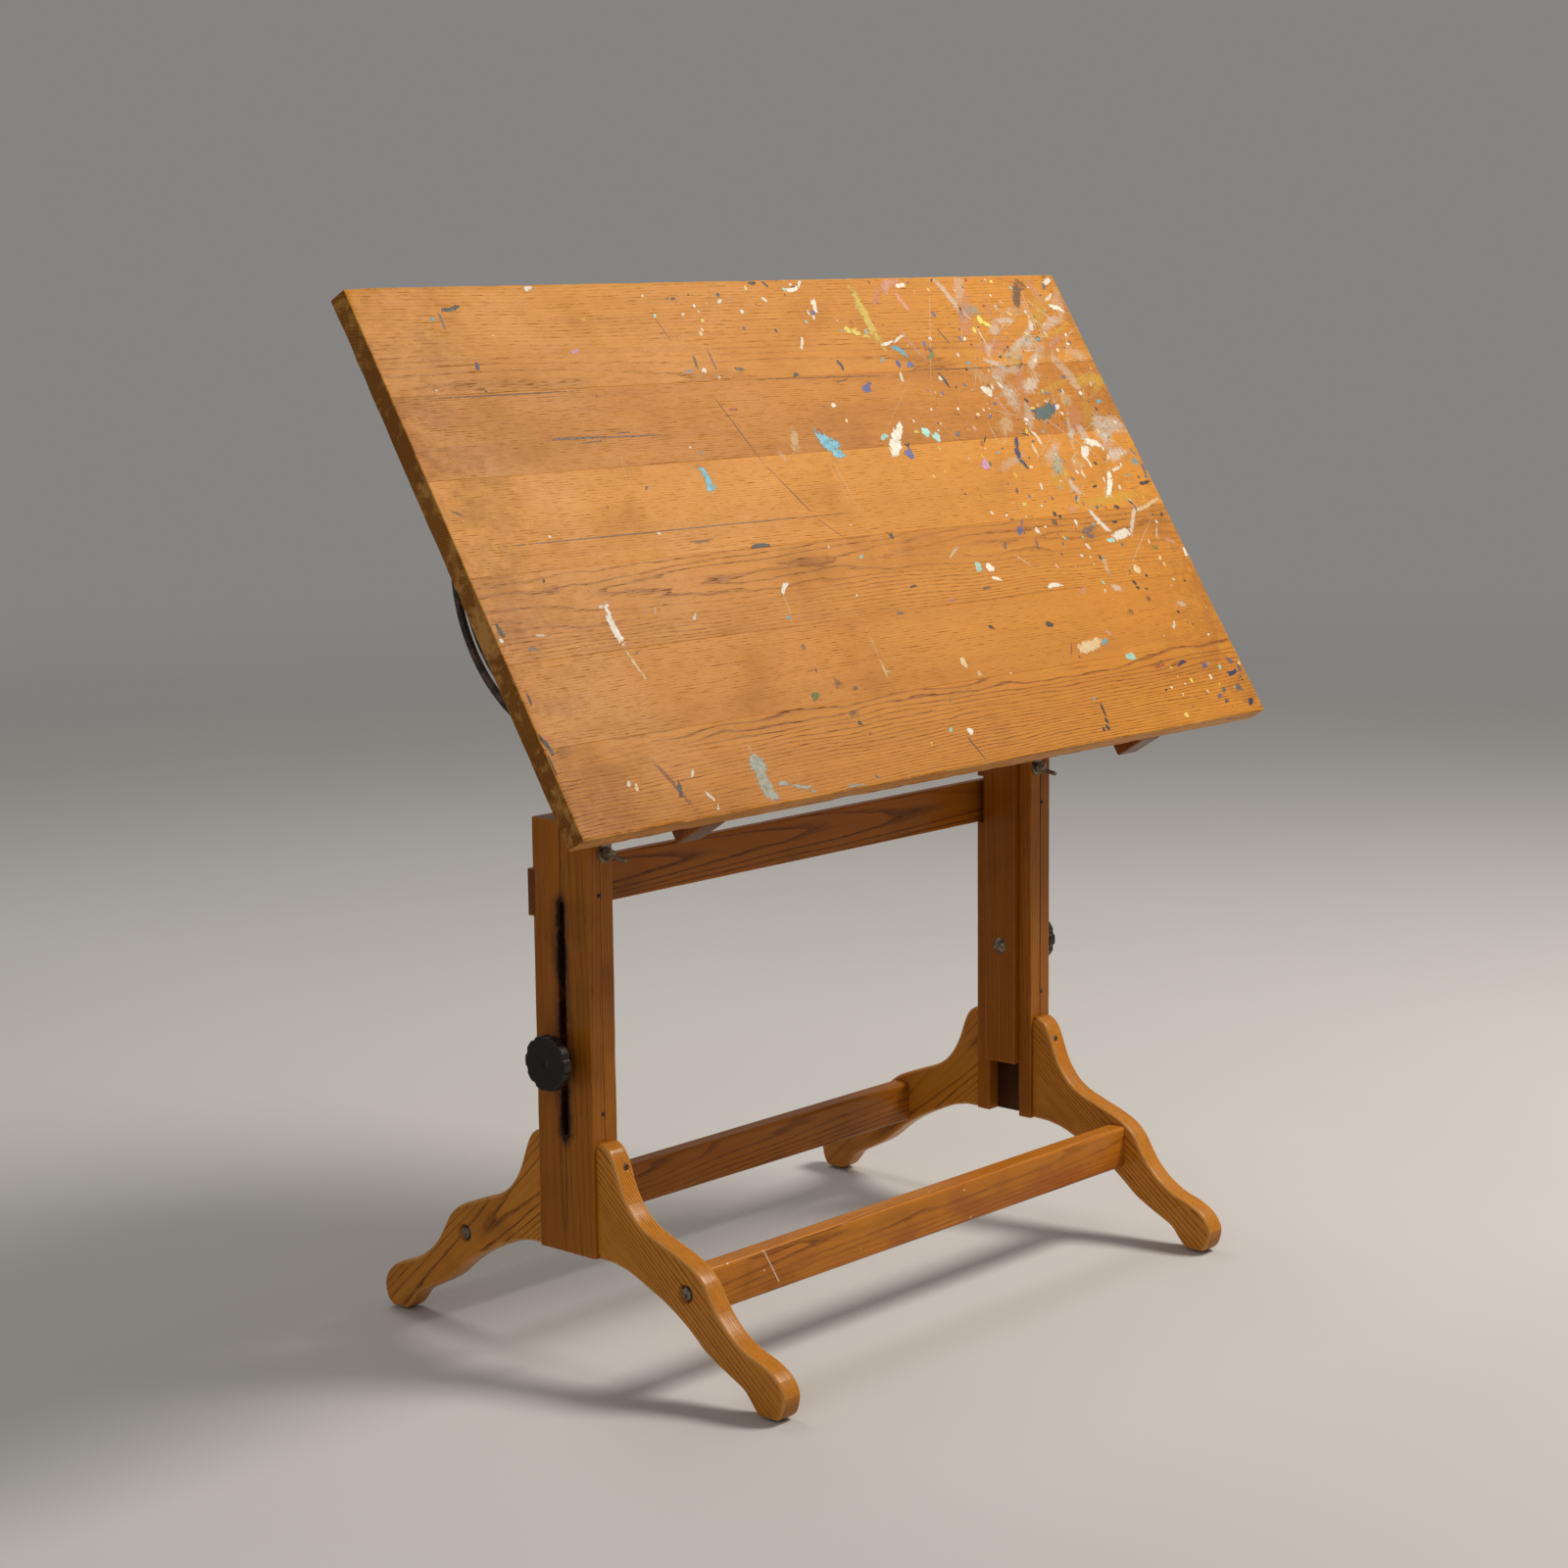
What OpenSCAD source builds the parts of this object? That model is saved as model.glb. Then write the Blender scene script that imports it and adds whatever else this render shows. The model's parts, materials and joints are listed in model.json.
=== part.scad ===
// Pedestal drafting table: a tilting board on two sliding posts, in a trestle base.
// The origin is on the floor under the middle of the table. X runs along the board,
// -Y is the side where the draughtsman sits, and +Z is up.

/* [Board] */
// Length of the board, end to end
board_length = 1219; // [960:1:1500]
// Depth of the board, low edge to high edge
board_depth = 648.5; // [540:0.5:800]
// Thickness of the board
board_thick = 25.4; // [18:0.2:32]
// Slope of the board above level
board_tilt = 58.1; // [0:0.1:68]
// Distance from the board's low edge to its pivot line, up the slope
pivot_up_board = 331; // [260:1:400]
// Width of a batten under the board
batten_width = 38; // [34:1:50]
// Depth of a batten, from the board's back to its underside
batten_depth = 45; // [38:1:60]
// Space between a batten's end and the board's edge
batten_end_gap = 0; // [0:1:40]

/* [Uprights] */
// Distance between the outer faces of the two uprights
upright_span = 827; // [600:1:1100]
// Height of an upright
upright_height = 492; // [400:1:620]
// Front-to-back width of an upright
upright_width = 87.5; // [76:0.5:110]
// Thickness of the slotted side board
side_board_thick = 19; // [16:0.5:26]
// Thickness of a stile, measured along the table
stile_thick = 19; // [16:0.5:26]
// Front-to-back width of a stile
stile_width = 19.5; // [17:0.5:24]
// Length of the slot for the carriage bolt
slot_length = 265; // [180:1:320]
// Solid wood above the slot
slot_head = 91; // [75:1:110]

/* [Posts] */
// How far a post stands proud of the stiles
post_proud = 9; // [6:0.2:14]
// Length of a post below its carriage bolt
post_tail = 153; // [90:1:170]
// Length of a post from its carriage bolt to the seat of the quadrant
post_seat = 342; // [310:1:380]
// Height of the cheeks on each side of the quadrant, above the seat
cheek_height = 50; // [40:1:70]
// Height of the carriage bolt above the slot's lower end
bolt_setting = 87; // [75:1:180]

/* [Quadrants] */
// Outer radius of a quadrant's arc
quadrant_radius = 199; // [165:1:240]
// Radial width of the arc
quadrant_width = 24; // [20:1:30]
// Thickness of the arc plate
quadrant_thick = 6; // [5:0.2:8]
// Thickness of a quadrant's foot
foot_thick = 4.4; // [4:0.2:8]
// Width of a quadrant's foot along the table
foot_width = 21; // [18:1:24]

/* [Legs] */
// Reach of a leg beyond the face of its upright
leg_reach = 277; // [230:1:340]
// Height of a leg's top above the floor
leg_height = 262; // [235:1:315]
// Thickness of a leg
leg_thick = 28.6; // [24:0.2:34]
// Height of a stretcher
stretcher_height = 52; // [42:1:64]
// Thickness of a stretcher
stretcher_thick = 26; // [22:1:30]
// Height of the rail between the uprights
rail_height = 54; // [40:1:70]
// Thickness of the rail
rail_thick = 13; // [11:0.5:20]
// Depth that the rail is let into the uprights
rail_let_in = 4; // [2:0.5:8]
// Distance from the rail's top to the upright's top
rail_drop = 59; // [46:1:80]

/* [Hardware] */
// Diameter of the carriage bolts that carry the hand knobs
bolt_d = 9.4; // [7.6:0.2:11.6]
// Diameter of the clamp bolts and the stretcher bolts
small_bolt_d = 8; // [6:0.5:9]
// Diameter of a hand knob over its lobes
knob_d = 63; // [52:1:74]
// Number of lobes on a hand knob
knob_lobes = 10; // [8:1:14]
// Thickness of a knob's rim
knob_rim = 12; // [9:0.5:16]
// Diameter of the height-lock thumb screws
thumb_screw_d = 6.4; // [5:0.2:8]
// Height of a foot glide
glide_height = 3; // [2:0.5:5]
// Diameter of a foot glide
glide_d = 20; // [16:1:24]

/* [Hidden] */
$fn = 64;

// clearances
slide_gap = 0.3;
running_gap = 0.05;
drill_gap = 0.1;
through_eps = 1;

// uprights and posts, for the right-hand end (+X)
half_span = upright_span / 2;
channel_x = half_span - side_board_thick;
stile_x = channel_x - stile_thick;
face_y = upright_width / 2;
channel_y = face_y - stile_width;
post_outer_x = channel_x - slide_gap;
post_inner_x = stile_x - post_proud;
post_mid_x = (post_outer_x + post_inner_x) / 2;
post_half_y = channel_y - slide_gap;

// The scroll of a leg, as a pattern of points (out from the upright, up from the floor)
// for a leg of this reach and height. It runs from the leg's top to its lower corner.
pattern_reach = 277;
pattern_height = 262;
pattern_corner = 130;
leg_pattern = [
    [8, 262.5], [17, 257], [24, 247], [30, 232], [36, 216], [45, 200], [58, 185], [76, 174],
    [100, 165], [122, 157], [142, 148], [159, 134], [171, 115], [183, 98], [200, 82],
    [222, 69], [245, 61], [263, 51], [274, 38], [276.5, 26], [272, 10], [262, 2], [250, 0.5],
    [236, 6], [226, 17], [217, 27], [200, 36], [180, 46], [161, 57], [144, 71], [124, 86],
    [100, 100], [70, 114], [46, 124], [24, 129]
];
knuckle_pattern = [133, 117];
glide_pattern = 253;
screw_pattern = [26.5, 237];

function leg_y(p) = face_y + p * leg_reach / pattern_reach;
function leg_z(p) = p * leg_height / pattern_height;

upright_bottom = leg_z(pattern_corner);
upright_top = upright_bottom + upright_height;
slot_top = upright_top - slot_head;
slot_bottom = slot_top - slot_length;
slot_w = bolt_d + 2 * slide_gap;
bolt_z = slot_bottom + bolt_setting;
seat_z = bolt_z + post_seat;
pivot_z = seat_z + quadrant_radius;
post_bottom = bolt_z - post_tail;
post_top = seat_z + cheek_height;

// legs and stretchers
leg_outer_x = half_span - (side_board_thick + stile_thick - leg_thick) / 2;
leg_inner_x = leg_outer_x - leg_thick;
leg_mid_x = (leg_outer_x + leg_inner_x) / 2;
knuckle_y = leg_y(knuckle_pattern[0]);
knuckle_z = leg_z(knuckle_pattern[1]);
counterbore_d = 22;
counterbore_depth = 9;
stretcher_bolt_length = 62;
bolt_washer_d = 20;
washer_thick = 1.6;
hex_flats = 13;
hex_height = 5.5;
hex_corners = hex_flats / cos(30);
cross_nut_d = 12;
cross_nut_inset = 40;
cross_nut_length = stretcher_height / 2 + 8;
stretcher_round = 5;

// leg to upright: a screw through the leg's upper edge into the stile, and two dowels
leg_screw_d = 5;
leg_screw_head_d = 8.4;
leg_screw_head_depth = 2.6;
leg_screw_slot_w = 1.2;
leg_screw_slot_depth = 1;
leg_screw_x = channel_x - 3.6;
leg_screw_y = leg_y(screw_pattern[0]);
leg_screw_z = leg_z(screw_pattern[1]);
leg_screw_tip_y = channel_y + 2;
dowel_d = 8;
dowel_length = 36;
dowel_x = channel_x + 6.5;
dowel_heights = [upright_bottom + 22, upright_bottom + 72];

// rail between the uprights
rail_front_y = face_y - rail_let_in;
rail_back_y = rail_front_y + rail_thick;
rail_top = upright_top - rail_drop;
rail_bottom = rail_top - rail_height;
stile_notch_slack = 6;
rail_screw_d = 4.4;
rail_screw_head_d = 8.4;
rail_screw_length = 36;
rail_screw_x = half_span - side_board_thick / 2;
rail_screw_inset = 14;

// nails in the front edges of the side boards
nail_d = 3;
nail_head_d = 5;
nail_length = 24;
nail_x = channel_x + 3.2;
nail_heights = [slot_top + 10, slot_bottom + 28];

// knob, its bush and the carriage bolt
dome_d = 20;
dome_height = 5;
square_neck = 5;
knob_washer_d = 26;
knob_washer_thick = 2;
knob_hub_d = 34;
knob_hub_length = 15.5;
knob_flute_r = 6;
knob_flute_depth = 1.8;
knob_dimple_r = 14;
knob_dimple_depth = 1.2;
knob_seat_x = half_span + slide_gap + knob_washer_thick;
bush_d = 15;
bush_length = 22;
bolt_engagement = 19;

// tilt clamp through the cheeks of a post and the slot of its quadrant
clamp_r = quadrant_radius - quadrant_width / 2;
clamp_z = pivot_z - clamp_r;
arc_slot_half_angle = 76;
kerf_w = quadrant_thick + 2 * slide_gap;
clamp_thread = 17;
clamp_washer_d = 20;
clamp_head_d = 16;
clamp_head_height = 4;
clamp_recess = 4.6;
arc_slot_w = small_bolt_d + 3 * slide_gap;
arc_slot_end_d = arc_slot_w + 0.6;
cheek_round = 10;

// wings of the clamp nuts and thumb screws
wing_hub_d = 13;
wing_hub_length = 11;
wing_thick = 3;
wing_tip_r = 4.8;
wing_tip_out = 13;
wing_tip_up = 15.5;

// height-lock thumb screws in the front stiles
thumb_drop = 35;
thumb_x = channel_x - 7;
thumb_z = upright_top - thumb_drop;
insert_d = 12;
insert_length = 13;
collar_d = 21;
collar_thick = 1.8;

// board, in its own frame
pivot_depth = board_thick + batten_depth + foot_thick;
plank_shares = [16, 15, 15.5, 17.5, 15.5, 20.5];
share_total = shares_below(len(plank_shares));
batten_x = (stile_x + half_span) / 2;
batten_screw_x = batten_x + batten_width / 4;
batten_bore_d = 10.4;
batten_bore_depth = 24;
batten_screw_d = 5;
batten_screw_head_d = 9.6;
batten_screw_bite = 16;
foot_inner_r = quadrant_radius - quadrant_width - 20;
foot_outer_r = quadrant_radius + 26;
foot_mid_x = post_mid_x + (foot_width - quadrant_thick) / 2;
foot_screw_x = foot_mid_x + quadrant_thick / 2;
foot_overlap = 0.4;
foot_screw_d = 5;
foot_screw_head_d = 9.6;
foot_screw_length = 28;
foot_screw_radii = [foot_inner_r + 10, foot_outer_r - 10];
screw_cone = 2.6;

function shares_below(n) = n == 0 ? 0 : plank_shares[n - 1] + shares_below(n - 1);
function plank_start(n) = board_depth * shares_below(n) / share_total - pivot_up_board;
function plank_size(n) = board_depth * plank_shares[n] / share_total;
function plank_middle(n) = plank_start(n) + plank_size(n) / 2;

// ---------- placing ----------

// side 1 is the right-hand end, side -1 the left-hand end
module on_side(side) {
    if (side > 0) children();
    else mirror([1, 0, 0]) children();
}

// end 1 is the rear, end -1 the front
module on_end(end) {
    if (end > 0) children();
    else mirror([0, 1, 0]) children();
}

module both_sides() {
    for (side = [-1, 1]) on_side(side) children();
}

module four_corners() {
    for (side = [-1, 1])
        for (end = [-1, 1])
            on_side(side) on_end(end) children();
}

// children drawn in the board's frame: y up the slope and z out through the board's face,
// with the pivot line at y = 0, z = 0
module in_board_frame() {
    translate([0, 0, pivot_z]) rotate([board_tilt, 0, 0]) children();
}

// a rod along +X from x1 to x2
module rod_x(d, x1, x2) {
    translate([x1, 0, 0]) rotate([0, 90, 0]) cylinder(d = d, h = x2 - x1);
}

// a rod along +Y from y1 to y2
module rod_y(d, y1, y2) {
    translate([0, y1, 0]) rotate([-90, 0, 0]) cylinder(d = d, h = y2 - y1);
}

// ---------- general shapes ----------

// a bar along X with rounded long edges, centred on the origin
module rounded_bar(length, thick, height, r) {
    rotate([90, 0, 90])
        linear_extrude(length, center = true) {
            square([thick - 2 * r, height], center = true);
            square([thick, height - 2 * r], center = true);
            for (a = [-1, 1])
                for (b = [-1, 1])
                    translate([a * (thick / 2 - r), b * (height / 2 - r)]) circle(r);
        }
}

// a countersunk screw that points down -Z, with the top of its head at z = 0
module flat_screw(d, head_d, length) {
    translate([0, 0, -length]) cylinder(d = d, h = length);
    translate([0, 0, -screw_cone]) cylinder(d1 = d, d2 = head_d, h = screw_cone);
}

// the low dome of a carriage bolt's head, on z = 0
module dome(d, height) {
    ball_r = (d * d / 4 + height * height) / (2 * height);
    intersection() {
        translate([0, 0, height - ball_r]) sphere(ball_r);
        cylinder(d = d, h = height);
    }
}

// one ear of a wing nut, in the plane of the axis
module wing_ear() {
    translate([0, wing_thick / 2, 0]) rotate([90, 0, 0])
        linear_extrude(wing_thick) {
            polygon([
                [wing_hub_d / 2 - 2.5, 0.5],
                [wing_hub_d / 2 + 1, 0.5],
                [wing_tip_out + wing_tip_r * 0.7, wing_tip_up - wing_tip_r * 0.7],
                [wing_tip_out - wing_tip_r * 0.7, wing_tip_up + wing_tip_r * 0.7],
                [wing_hub_d / 2 - 2.5, wing_hub_length - 1]
            ]);
            translate([wing_tip_out, wing_tip_up]) circle(wing_tip_r);
        }
}

// hub and two ears, standing on z = 0
module wings() {
    cylinder(d1 = wing_hub_d, d2 = wing_hub_d - 3, h = wing_hub_length);
    wing_ear();
    rotate([0, 0, 180]) wing_ear();
}

// ---------- base ----------

// smooth curve through a list of points
function curve_point(a, b, c, d, t) =
    0.5 * (2 * b + (c - a) * t + (2 * a - 5 * b + 4 * c - d) * t * t
        + (3 * b - a - 3 * c + d) * t * t * t);
function curve(p, steps) = [
    for (i = [0 : len(p) - 2])
        for (s = [0 : steps - 1])
            curve_point(p[max(i - 1, 0)], p[i], p[i + 1], p[min(i + 2, len(p) - 1)], s / steps),
    p[len(p) - 1]
];

module leg_outline() {
    scroll = curve([for (p = leg_pattern) [leg_y(p[0]), leg_z(p[1])]], 3);
    difference() {
        polygon(concat([[face_y, upright_bottom], [face_y, leg_height]], scroll));
        translate([face_y, -10]) square([leg_reach + 20, 10 + glide_height]);
    }
}

// the right rear leg
module leg() {
    difference() {
        translate([leg_inner_x, 0, 0]) rotate([90, 0, 90]) linear_extrude(leg_thick) leg_outline();
        translate([0, knuckle_y, knuckle_z]) {
            rod_x(small_bolt_d + 2 * drill_gap, leg_inner_x - through_eps, leg_outer_x + through_eps);
            rod_x(counterbore_d, leg_outer_x - counterbore_depth, leg_outer_x + through_eps);
        }
        translate([leg_screw_x, 0, leg_screw_z]) {
            rod_y(leg_screw_d + 2 * drill_gap, face_y - through_eps, leg_screw_y + through_eps);
            rod_y(leg_screw_head_d + 2 * drill_gap, leg_screw_y - leg_screw_head_depth, leg_screw_y + 12);
        }
        dowel_holes();
    }
}

module dowel_holes() {
    for (z = dowel_heights)
        translate([dowel_x, 0, z])
            rod_y(dowel_d, face_y - dowel_length / 2, face_y + dowel_length / 2);
}

module leg_at(side, end) {
    color("goldenrod") on_side(side) on_end(end) leg();
}

module stretcher(end) {
    color("goldenrod") on_end(end)
        difference() {
            translate([0, knuckle_y, knuckle_z])
                rounded_bar(2 * leg_inner_x, stretcher_thick, stretcher_height, stretcher_round);
            both_sides() translate([0, knuckle_y, knuckle_z]) {
                rod_x(small_bolt_d + 2 * drill_gap,
                    leg_outer_x - counterbore_depth - washer_thick - stretcher_bolt_length - drill_gap,
                    leg_inner_x + through_eps);
                translate([leg_inner_x - cross_nut_inset, 0, -stretcher_height / 2 - through_eps])
                    cylinder(d = cross_nut_d + 2 * drill_gap, h = cross_nut_length + through_eps);
            }
        }
}

module stretcher_bolts() {
    seat = leg_outer_x - counterbore_depth + washer_thick;
    color("dimgray") four_corners() translate([0, knuckle_y, knuckle_z]) {
        rod_x(small_bolt_d, seat - stretcher_bolt_length, seat + hex_height / 2);
        translate([seat, 0, 0]) rotate([0, 90, 0]) cylinder(d = hex_corners, h = hex_height, $fn = 6);
    }
}

module stretcher_bolt_washers() {
    color("gray") four_corners() translate([0, knuckle_y, knuckle_z])
        difference() {
            rod_x(bolt_washer_d, leg_outer_x - counterbore_depth,
                leg_outer_x - counterbore_depth + washer_thick);
            rod_x(small_bolt_d + 2 * running_gap, leg_outer_x - counterbore_depth - through_eps, leg_outer_x);
        }
}

module stretcher_cross_nuts() {
    color("gray") four_corners()
        translate([leg_inner_x - cross_nut_inset, knuckle_y, knuckle_z])
            difference() {
                translate([0, 0, -stretcher_height / 2 + 1])
                    cylinder(d = cross_nut_d, h = cross_nut_length - 1);
                rod_x(small_bolt_d + 2 * running_gap, -cross_nut_d, cross_nut_d);
            }
}

module leg_screws() {
    color("dimgray") four_corners() translate([leg_screw_x, 0, leg_screw_z])
        difference() {
            union() {
                rod_y(leg_screw_d, leg_screw_tip_y, leg_screw_y);
                rod_y(leg_screw_head_d, leg_screw_y - leg_screw_head_depth, leg_screw_y);
            }
            rotate([0, 25, 0]) translate([0, leg_screw_y, 0])
                cube([leg_screw_head_d + 2, 2 * leg_screw_slot_depth, leg_screw_slot_w], center = true);
        }
}

module leg_dowels() {
    color("burlywood") four_corners() for (z = dowel_heights)
        translate([dowel_x, 0, z])
            rod_y(dowel_d, face_y - dowel_length / 2 + 1, face_y + dowel_length / 2 - 1);
}

module slot_cut(w, z1, z2, x1, x2) {
    translate([x1, 0, 0]) rotate([90, 0, 90])
        linear_extrude(x2 - x1) {
            translate([-w / 2, z1 + w / 2]) square([w, z2 - z1 - w]);
            for (z = [z1 + w / 2, z2 - w / 2]) translate([0, z]) circle(d = w);
        }
}

module rail_screw_row(d, head_d, length) {
    for (z = [rail_bottom + rail_screw_inset, rail_top - rail_screw_inset])
        translate([rail_screw_x, rail_back_y, z]) rotate([-90, 0, 0]) flat_screw(d, head_d, length);
}

module nail_row(d, head_d, length) {
    for (z = nail_heights) translate([nail_x, -face_y, z]) {
        rod_y(d, 0, length);
        rod_y(head_d, 0, 1.2);
    }
}

// slotted outer board of an upright
module side_board(side) {
    color("peru") on_side(side)
        difference() {
            translate([channel_x, -face_y, upright_bottom])
                cube([side_board_thick, upright_width, upright_height]);
            slot_cut(slot_w, slot_bottom, slot_top, channel_x - through_eps, half_span + through_eps);
            translate([channel_x - through_eps, rail_front_y, rail_bottom])
                cube([side_board_thick + 2 * through_eps, upright_width, rail_height]);
            for (end = [-1, 1]) on_end(end) dowel_holes();
            rail_screw_row(rail_screw_d + 2 * drill_gap, rail_screw_head_d, rail_screw_length + 1);
            nail_row(nail_d + 2 * drill_gap, nail_head_d + 2 * drill_gap, nail_length + 1);
        }
}

// stile on one edge of the channel that the post slides in
module stile(side, end) {
    color("peru") on_side(side)
        difference() {
            on_end(end)
                difference() {
                    translate([stile_x, channel_y, upright_bottom])
                        cube([stile_thick, stile_width, upright_height]);
                    translate([leg_screw_x, 0, leg_screw_z])
                        rod_y(leg_screw_d + 2 * drill_gap, leg_screw_tip_y - 2 * drill_gap,
                            face_y + through_eps);
                }
            if (end > 0)
                translate([stile_x - through_eps, rail_front_y - stile_notch_slack, rail_bottom])
                    cube([stile_thick + 2 * through_eps, upright_width, rail_height + stile_notch_slack]);
            else
                translate([thumb_x, 0, thumb_z]) {
                    rod_y(thumb_screw_d + 4 * drill_gap, -face_y - through_eps, -channel_y + through_eps);
                    rod_y(insert_d, -face_y - through_eps, -face_y + insert_length);
                }
        }
}

module top_rail() {
    color("chocolate")
        difference() {
            translate([-half_span, rail_front_y, rail_bottom])
                cube([upright_span, rail_thick, rail_height]);
            both_sides() rail_screw_row(rail_screw_d + 2 * drill_gap,
                rail_screw_head_d + 2 * drill_gap, rail_screw_length + 1);
        }
}

module rail_screws() {
    color("gray") both_sides() rail_screw_row(rail_screw_d, rail_screw_head_d, rail_screw_length);
}

module edge_nails() {
    color("black") both_sides() nail_row(nail_d, nail_head_d, nail_length);
}

module foot_glides() {
    glide_y = leg_y(glide_pattern);
    color("silver") four_corners() translate([leg_mid_x, glide_y, 0])
        cylinder(d1 = glide_d - 3, d2 = glide_d, h = glide_height);
}

module thumb_screw(side) {
    head_y = face_y + collar_thick + slide_gap;
    color("dimgray") on_side(side) translate([thumb_x, 0, thumb_z]) {
        rod_y(thumb_screw_d, -head_y - 1, -post_half_y - 2 * slide_gap);
        translate([0, -head_y, 0]) rotate([90, 35 * side, 0]) wings();
    }
}

module thumb_screw_inserts() {
    color("dimgray") both_sides() translate([thumb_x, 0, thumb_z])
        difference() {
            union() {
                rod_y(insert_d, -face_y, -face_y + insert_length);
                rod_y(collar_d, -face_y - collar_thick, -face_y);
            }
            rod_y(thumb_screw_d + 2 * running_gap, -face_y - 2 * collar_thick, -channel_y);
        }
}

// ---------- posts and their clamps ----------

module post_outline() {
    height = post_top - post_bottom;
    translate([-post_half_y, post_bottom]) square([2 * post_half_y, height - cheek_round]);
    translate([-post_half_y + cheek_round, post_bottom])
        square([2 * (post_half_y - cheek_round), height]);
    for (s = [-1, 1])
        translate([s * (post_half_y - cheek_round), post_top - cheek_round]) circle(cheek_round);
}

module post(side) {
    color("sienna") on_side(side)
        difference() {
            translate([post_inner_x, 0, 0]) rotate([90, 0, 90])
                linear_extrude(post_outer_x - post_inner_x) post_outline();
            translate([0, 0, pivot_z])
                rod_x(2 * (quadrant_radius + slide_gap), post_mid_x - kerf_w / 2, post_mid_x + kerf_w / 2);
            translate([0, 0, clamp_z]) {
                rod_x(small_bolt_d + 2 * drill_gap, post_inner_x - through_eps, post_outer_x + through_eps);
                rod_x(clamp_head_d + 2 * slide_gap, post_outer_x - clamp_recess, post_outer_x + through_eps);
            }
            translate([0, 0, bolt_z]) {
                rod_x(bolt_d + 2 * drill_gap, post_inner_x - through_eps, post_outer_x + through_eps);
                translate([post_inner_x, 0, 0])
                    cube([2 * square_neck, bolt_d + 2 * drill_gap, bolt_d + 2 * drill_gap], center = true);
            }
        }
}

module carriage_bolt(side) {
    color("gray") on_side(side) translate([0, 0, bolt_z]) {
        rod_x(bolt_d, post_inner_x, knob_seat_x + bolt_engagement);
        translate([post_inner_x, -bolt_d / 2, -bolt_d / 2]) cube([square_neck - 0.2, bolt_d, bolt_d]);
        translate([post_inner_x, 0, 0]) rotate([0, -90, 0]) dome(dome_d, dome_height);
    }
}

module washer_at(outer_d, bore_d, x1, x2) {
    difference() {
        rod_x(outer_d, x1, x2);
        rod_x(bore_d, x1 - through_eps, x2 + through_eps);
    }
}

module knob_washers() {
    color("silver") both_sides() translate([0, 0, bolt_z])
        washer_at(knob_washer_d, bolt_d + 2 * running_gap, half_span + slide_gap, knob_seat_x);
}

module clamp_bolt(side) {
    color("dimgray") on_side(side) translate([0, 0, clamp_z]) {
        rod_x(small_bolt_d, post_inner_x - clamp_thread, post_outer_x - clamp_recess + 1);
        translate([post_outer_x - clamp_recess, 0, 0]) rotate([0, 90, 0])
            dome(clamp_head_d, clamp_head_height);
    }
}

module clamp_washers() {
    color("gray") both_sides() translate([0, 0, clamp_z])
        washer_at(clamp_washer_d, small_bolt_d + 2 * running_gap, post_inner_x - washer_thick,
            post_inner_x);
}

module clamp_wing_nut(side) {
    nut_x = post_inner_x - washer_thick - slide_gap;
    color("dimgray") on_side(side)
        difference() {
            translate([nut_x, 0, clamp_z]) rotate([0, -90, 0]) rotate([0, 0, 55]) wings();
            translate([0, 0, clamp_z])
                rod_x(small_bolt_d + 2 * running_gap, nut_x - 2 * wing_hub_length, nut_x + through_eps);
        }
}

// ---------- knobs ----------

module knob_face() {
    flute_centre = knob_d / 2 - knob_flute_depth + knob_flute_r;
    difference() {
        circle(d = knob_d);
        for (i = [0 : knob_lobes - 1])
            rotate(i * 360 / knob_lobes) translate([flute_centre, 0]) circle(knob_flute_r);
    }
}

module knob(side) {
    color([0.08, 0.08, 0.09]) on_side(side) translate([knob_seat_x, 0, bolt_z]) rotate([0, 90, 0])
        difference() {
            union() {
                cylinder(d1 = knob_hub_d - 6, d2 = knob_hub_d, h = knob_hub_length);
                translate([0, 0, knob_hub_length]) linear_extrude(knob_rim) knob_face();
            }
            translate([0, 0, -through_eps]) cylinder(d = bush_d, h = bush_length + through_eps);
            translate([0, 0, knob_hub_length + knob_rim - knob_dimple_depth + knob_dimple_r])
                sphere(knob_dimple_r);
        }
}

module knob_bush(side) {
    color("gold") on_side(side) translate([0, 0, bolt_z])
        washer_at(bush_d, bolt_d + 2 * running_gap, knob_seat_x, knob_seat_x + bush_length);
}

// ---------- board ----------

module batten_screw_row(n, d, head_d, length, side) {
    head = foot_thick + batten_bore_depth;
    translate([side * batten_screw_x, plank_middle(n), head]) mirror([0, 0, 1]) flat_screw(d, head_d, length);
}

batten_screw_length = batten_depth - batten_bore_depth + batten_screw_bite;

module plank(n) {
    color("orange") in_board_frame()
        difference() {
            translate([-board_length / 2, plank_start(n), pivot_depth - board_thick])
                cube([board_length, plank_size(n), board_thick]);
            for (side = [-1, 1])
                batten_screw_row(n, batten_screw_d + 2 * drill_gap, batten_screw_d,
                    batten_screw_length + 1, side);
        }
}

module batten_screws() {
    color("gray") in_board_frame()
        for (n = [0 : len(plank_shares) - 1])
            for (side = [-1, 1])
                batten_screw_row(n, batten_screw_d, batten_screw_head_d, batten_screw_length, side);
}

// the foot at each end of the arc
module foot_places() {
    for (end = [-1, 1]) on_end(end) children();
}

module foot_screw_pattern(d, head_d, length) {
    foot_places() for (r = foot_screw_radii)
        translate([foot_screw_x, r, 0]) mirror([0, 0, 1]) flat_screw(d, head_d, length);
}

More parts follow.
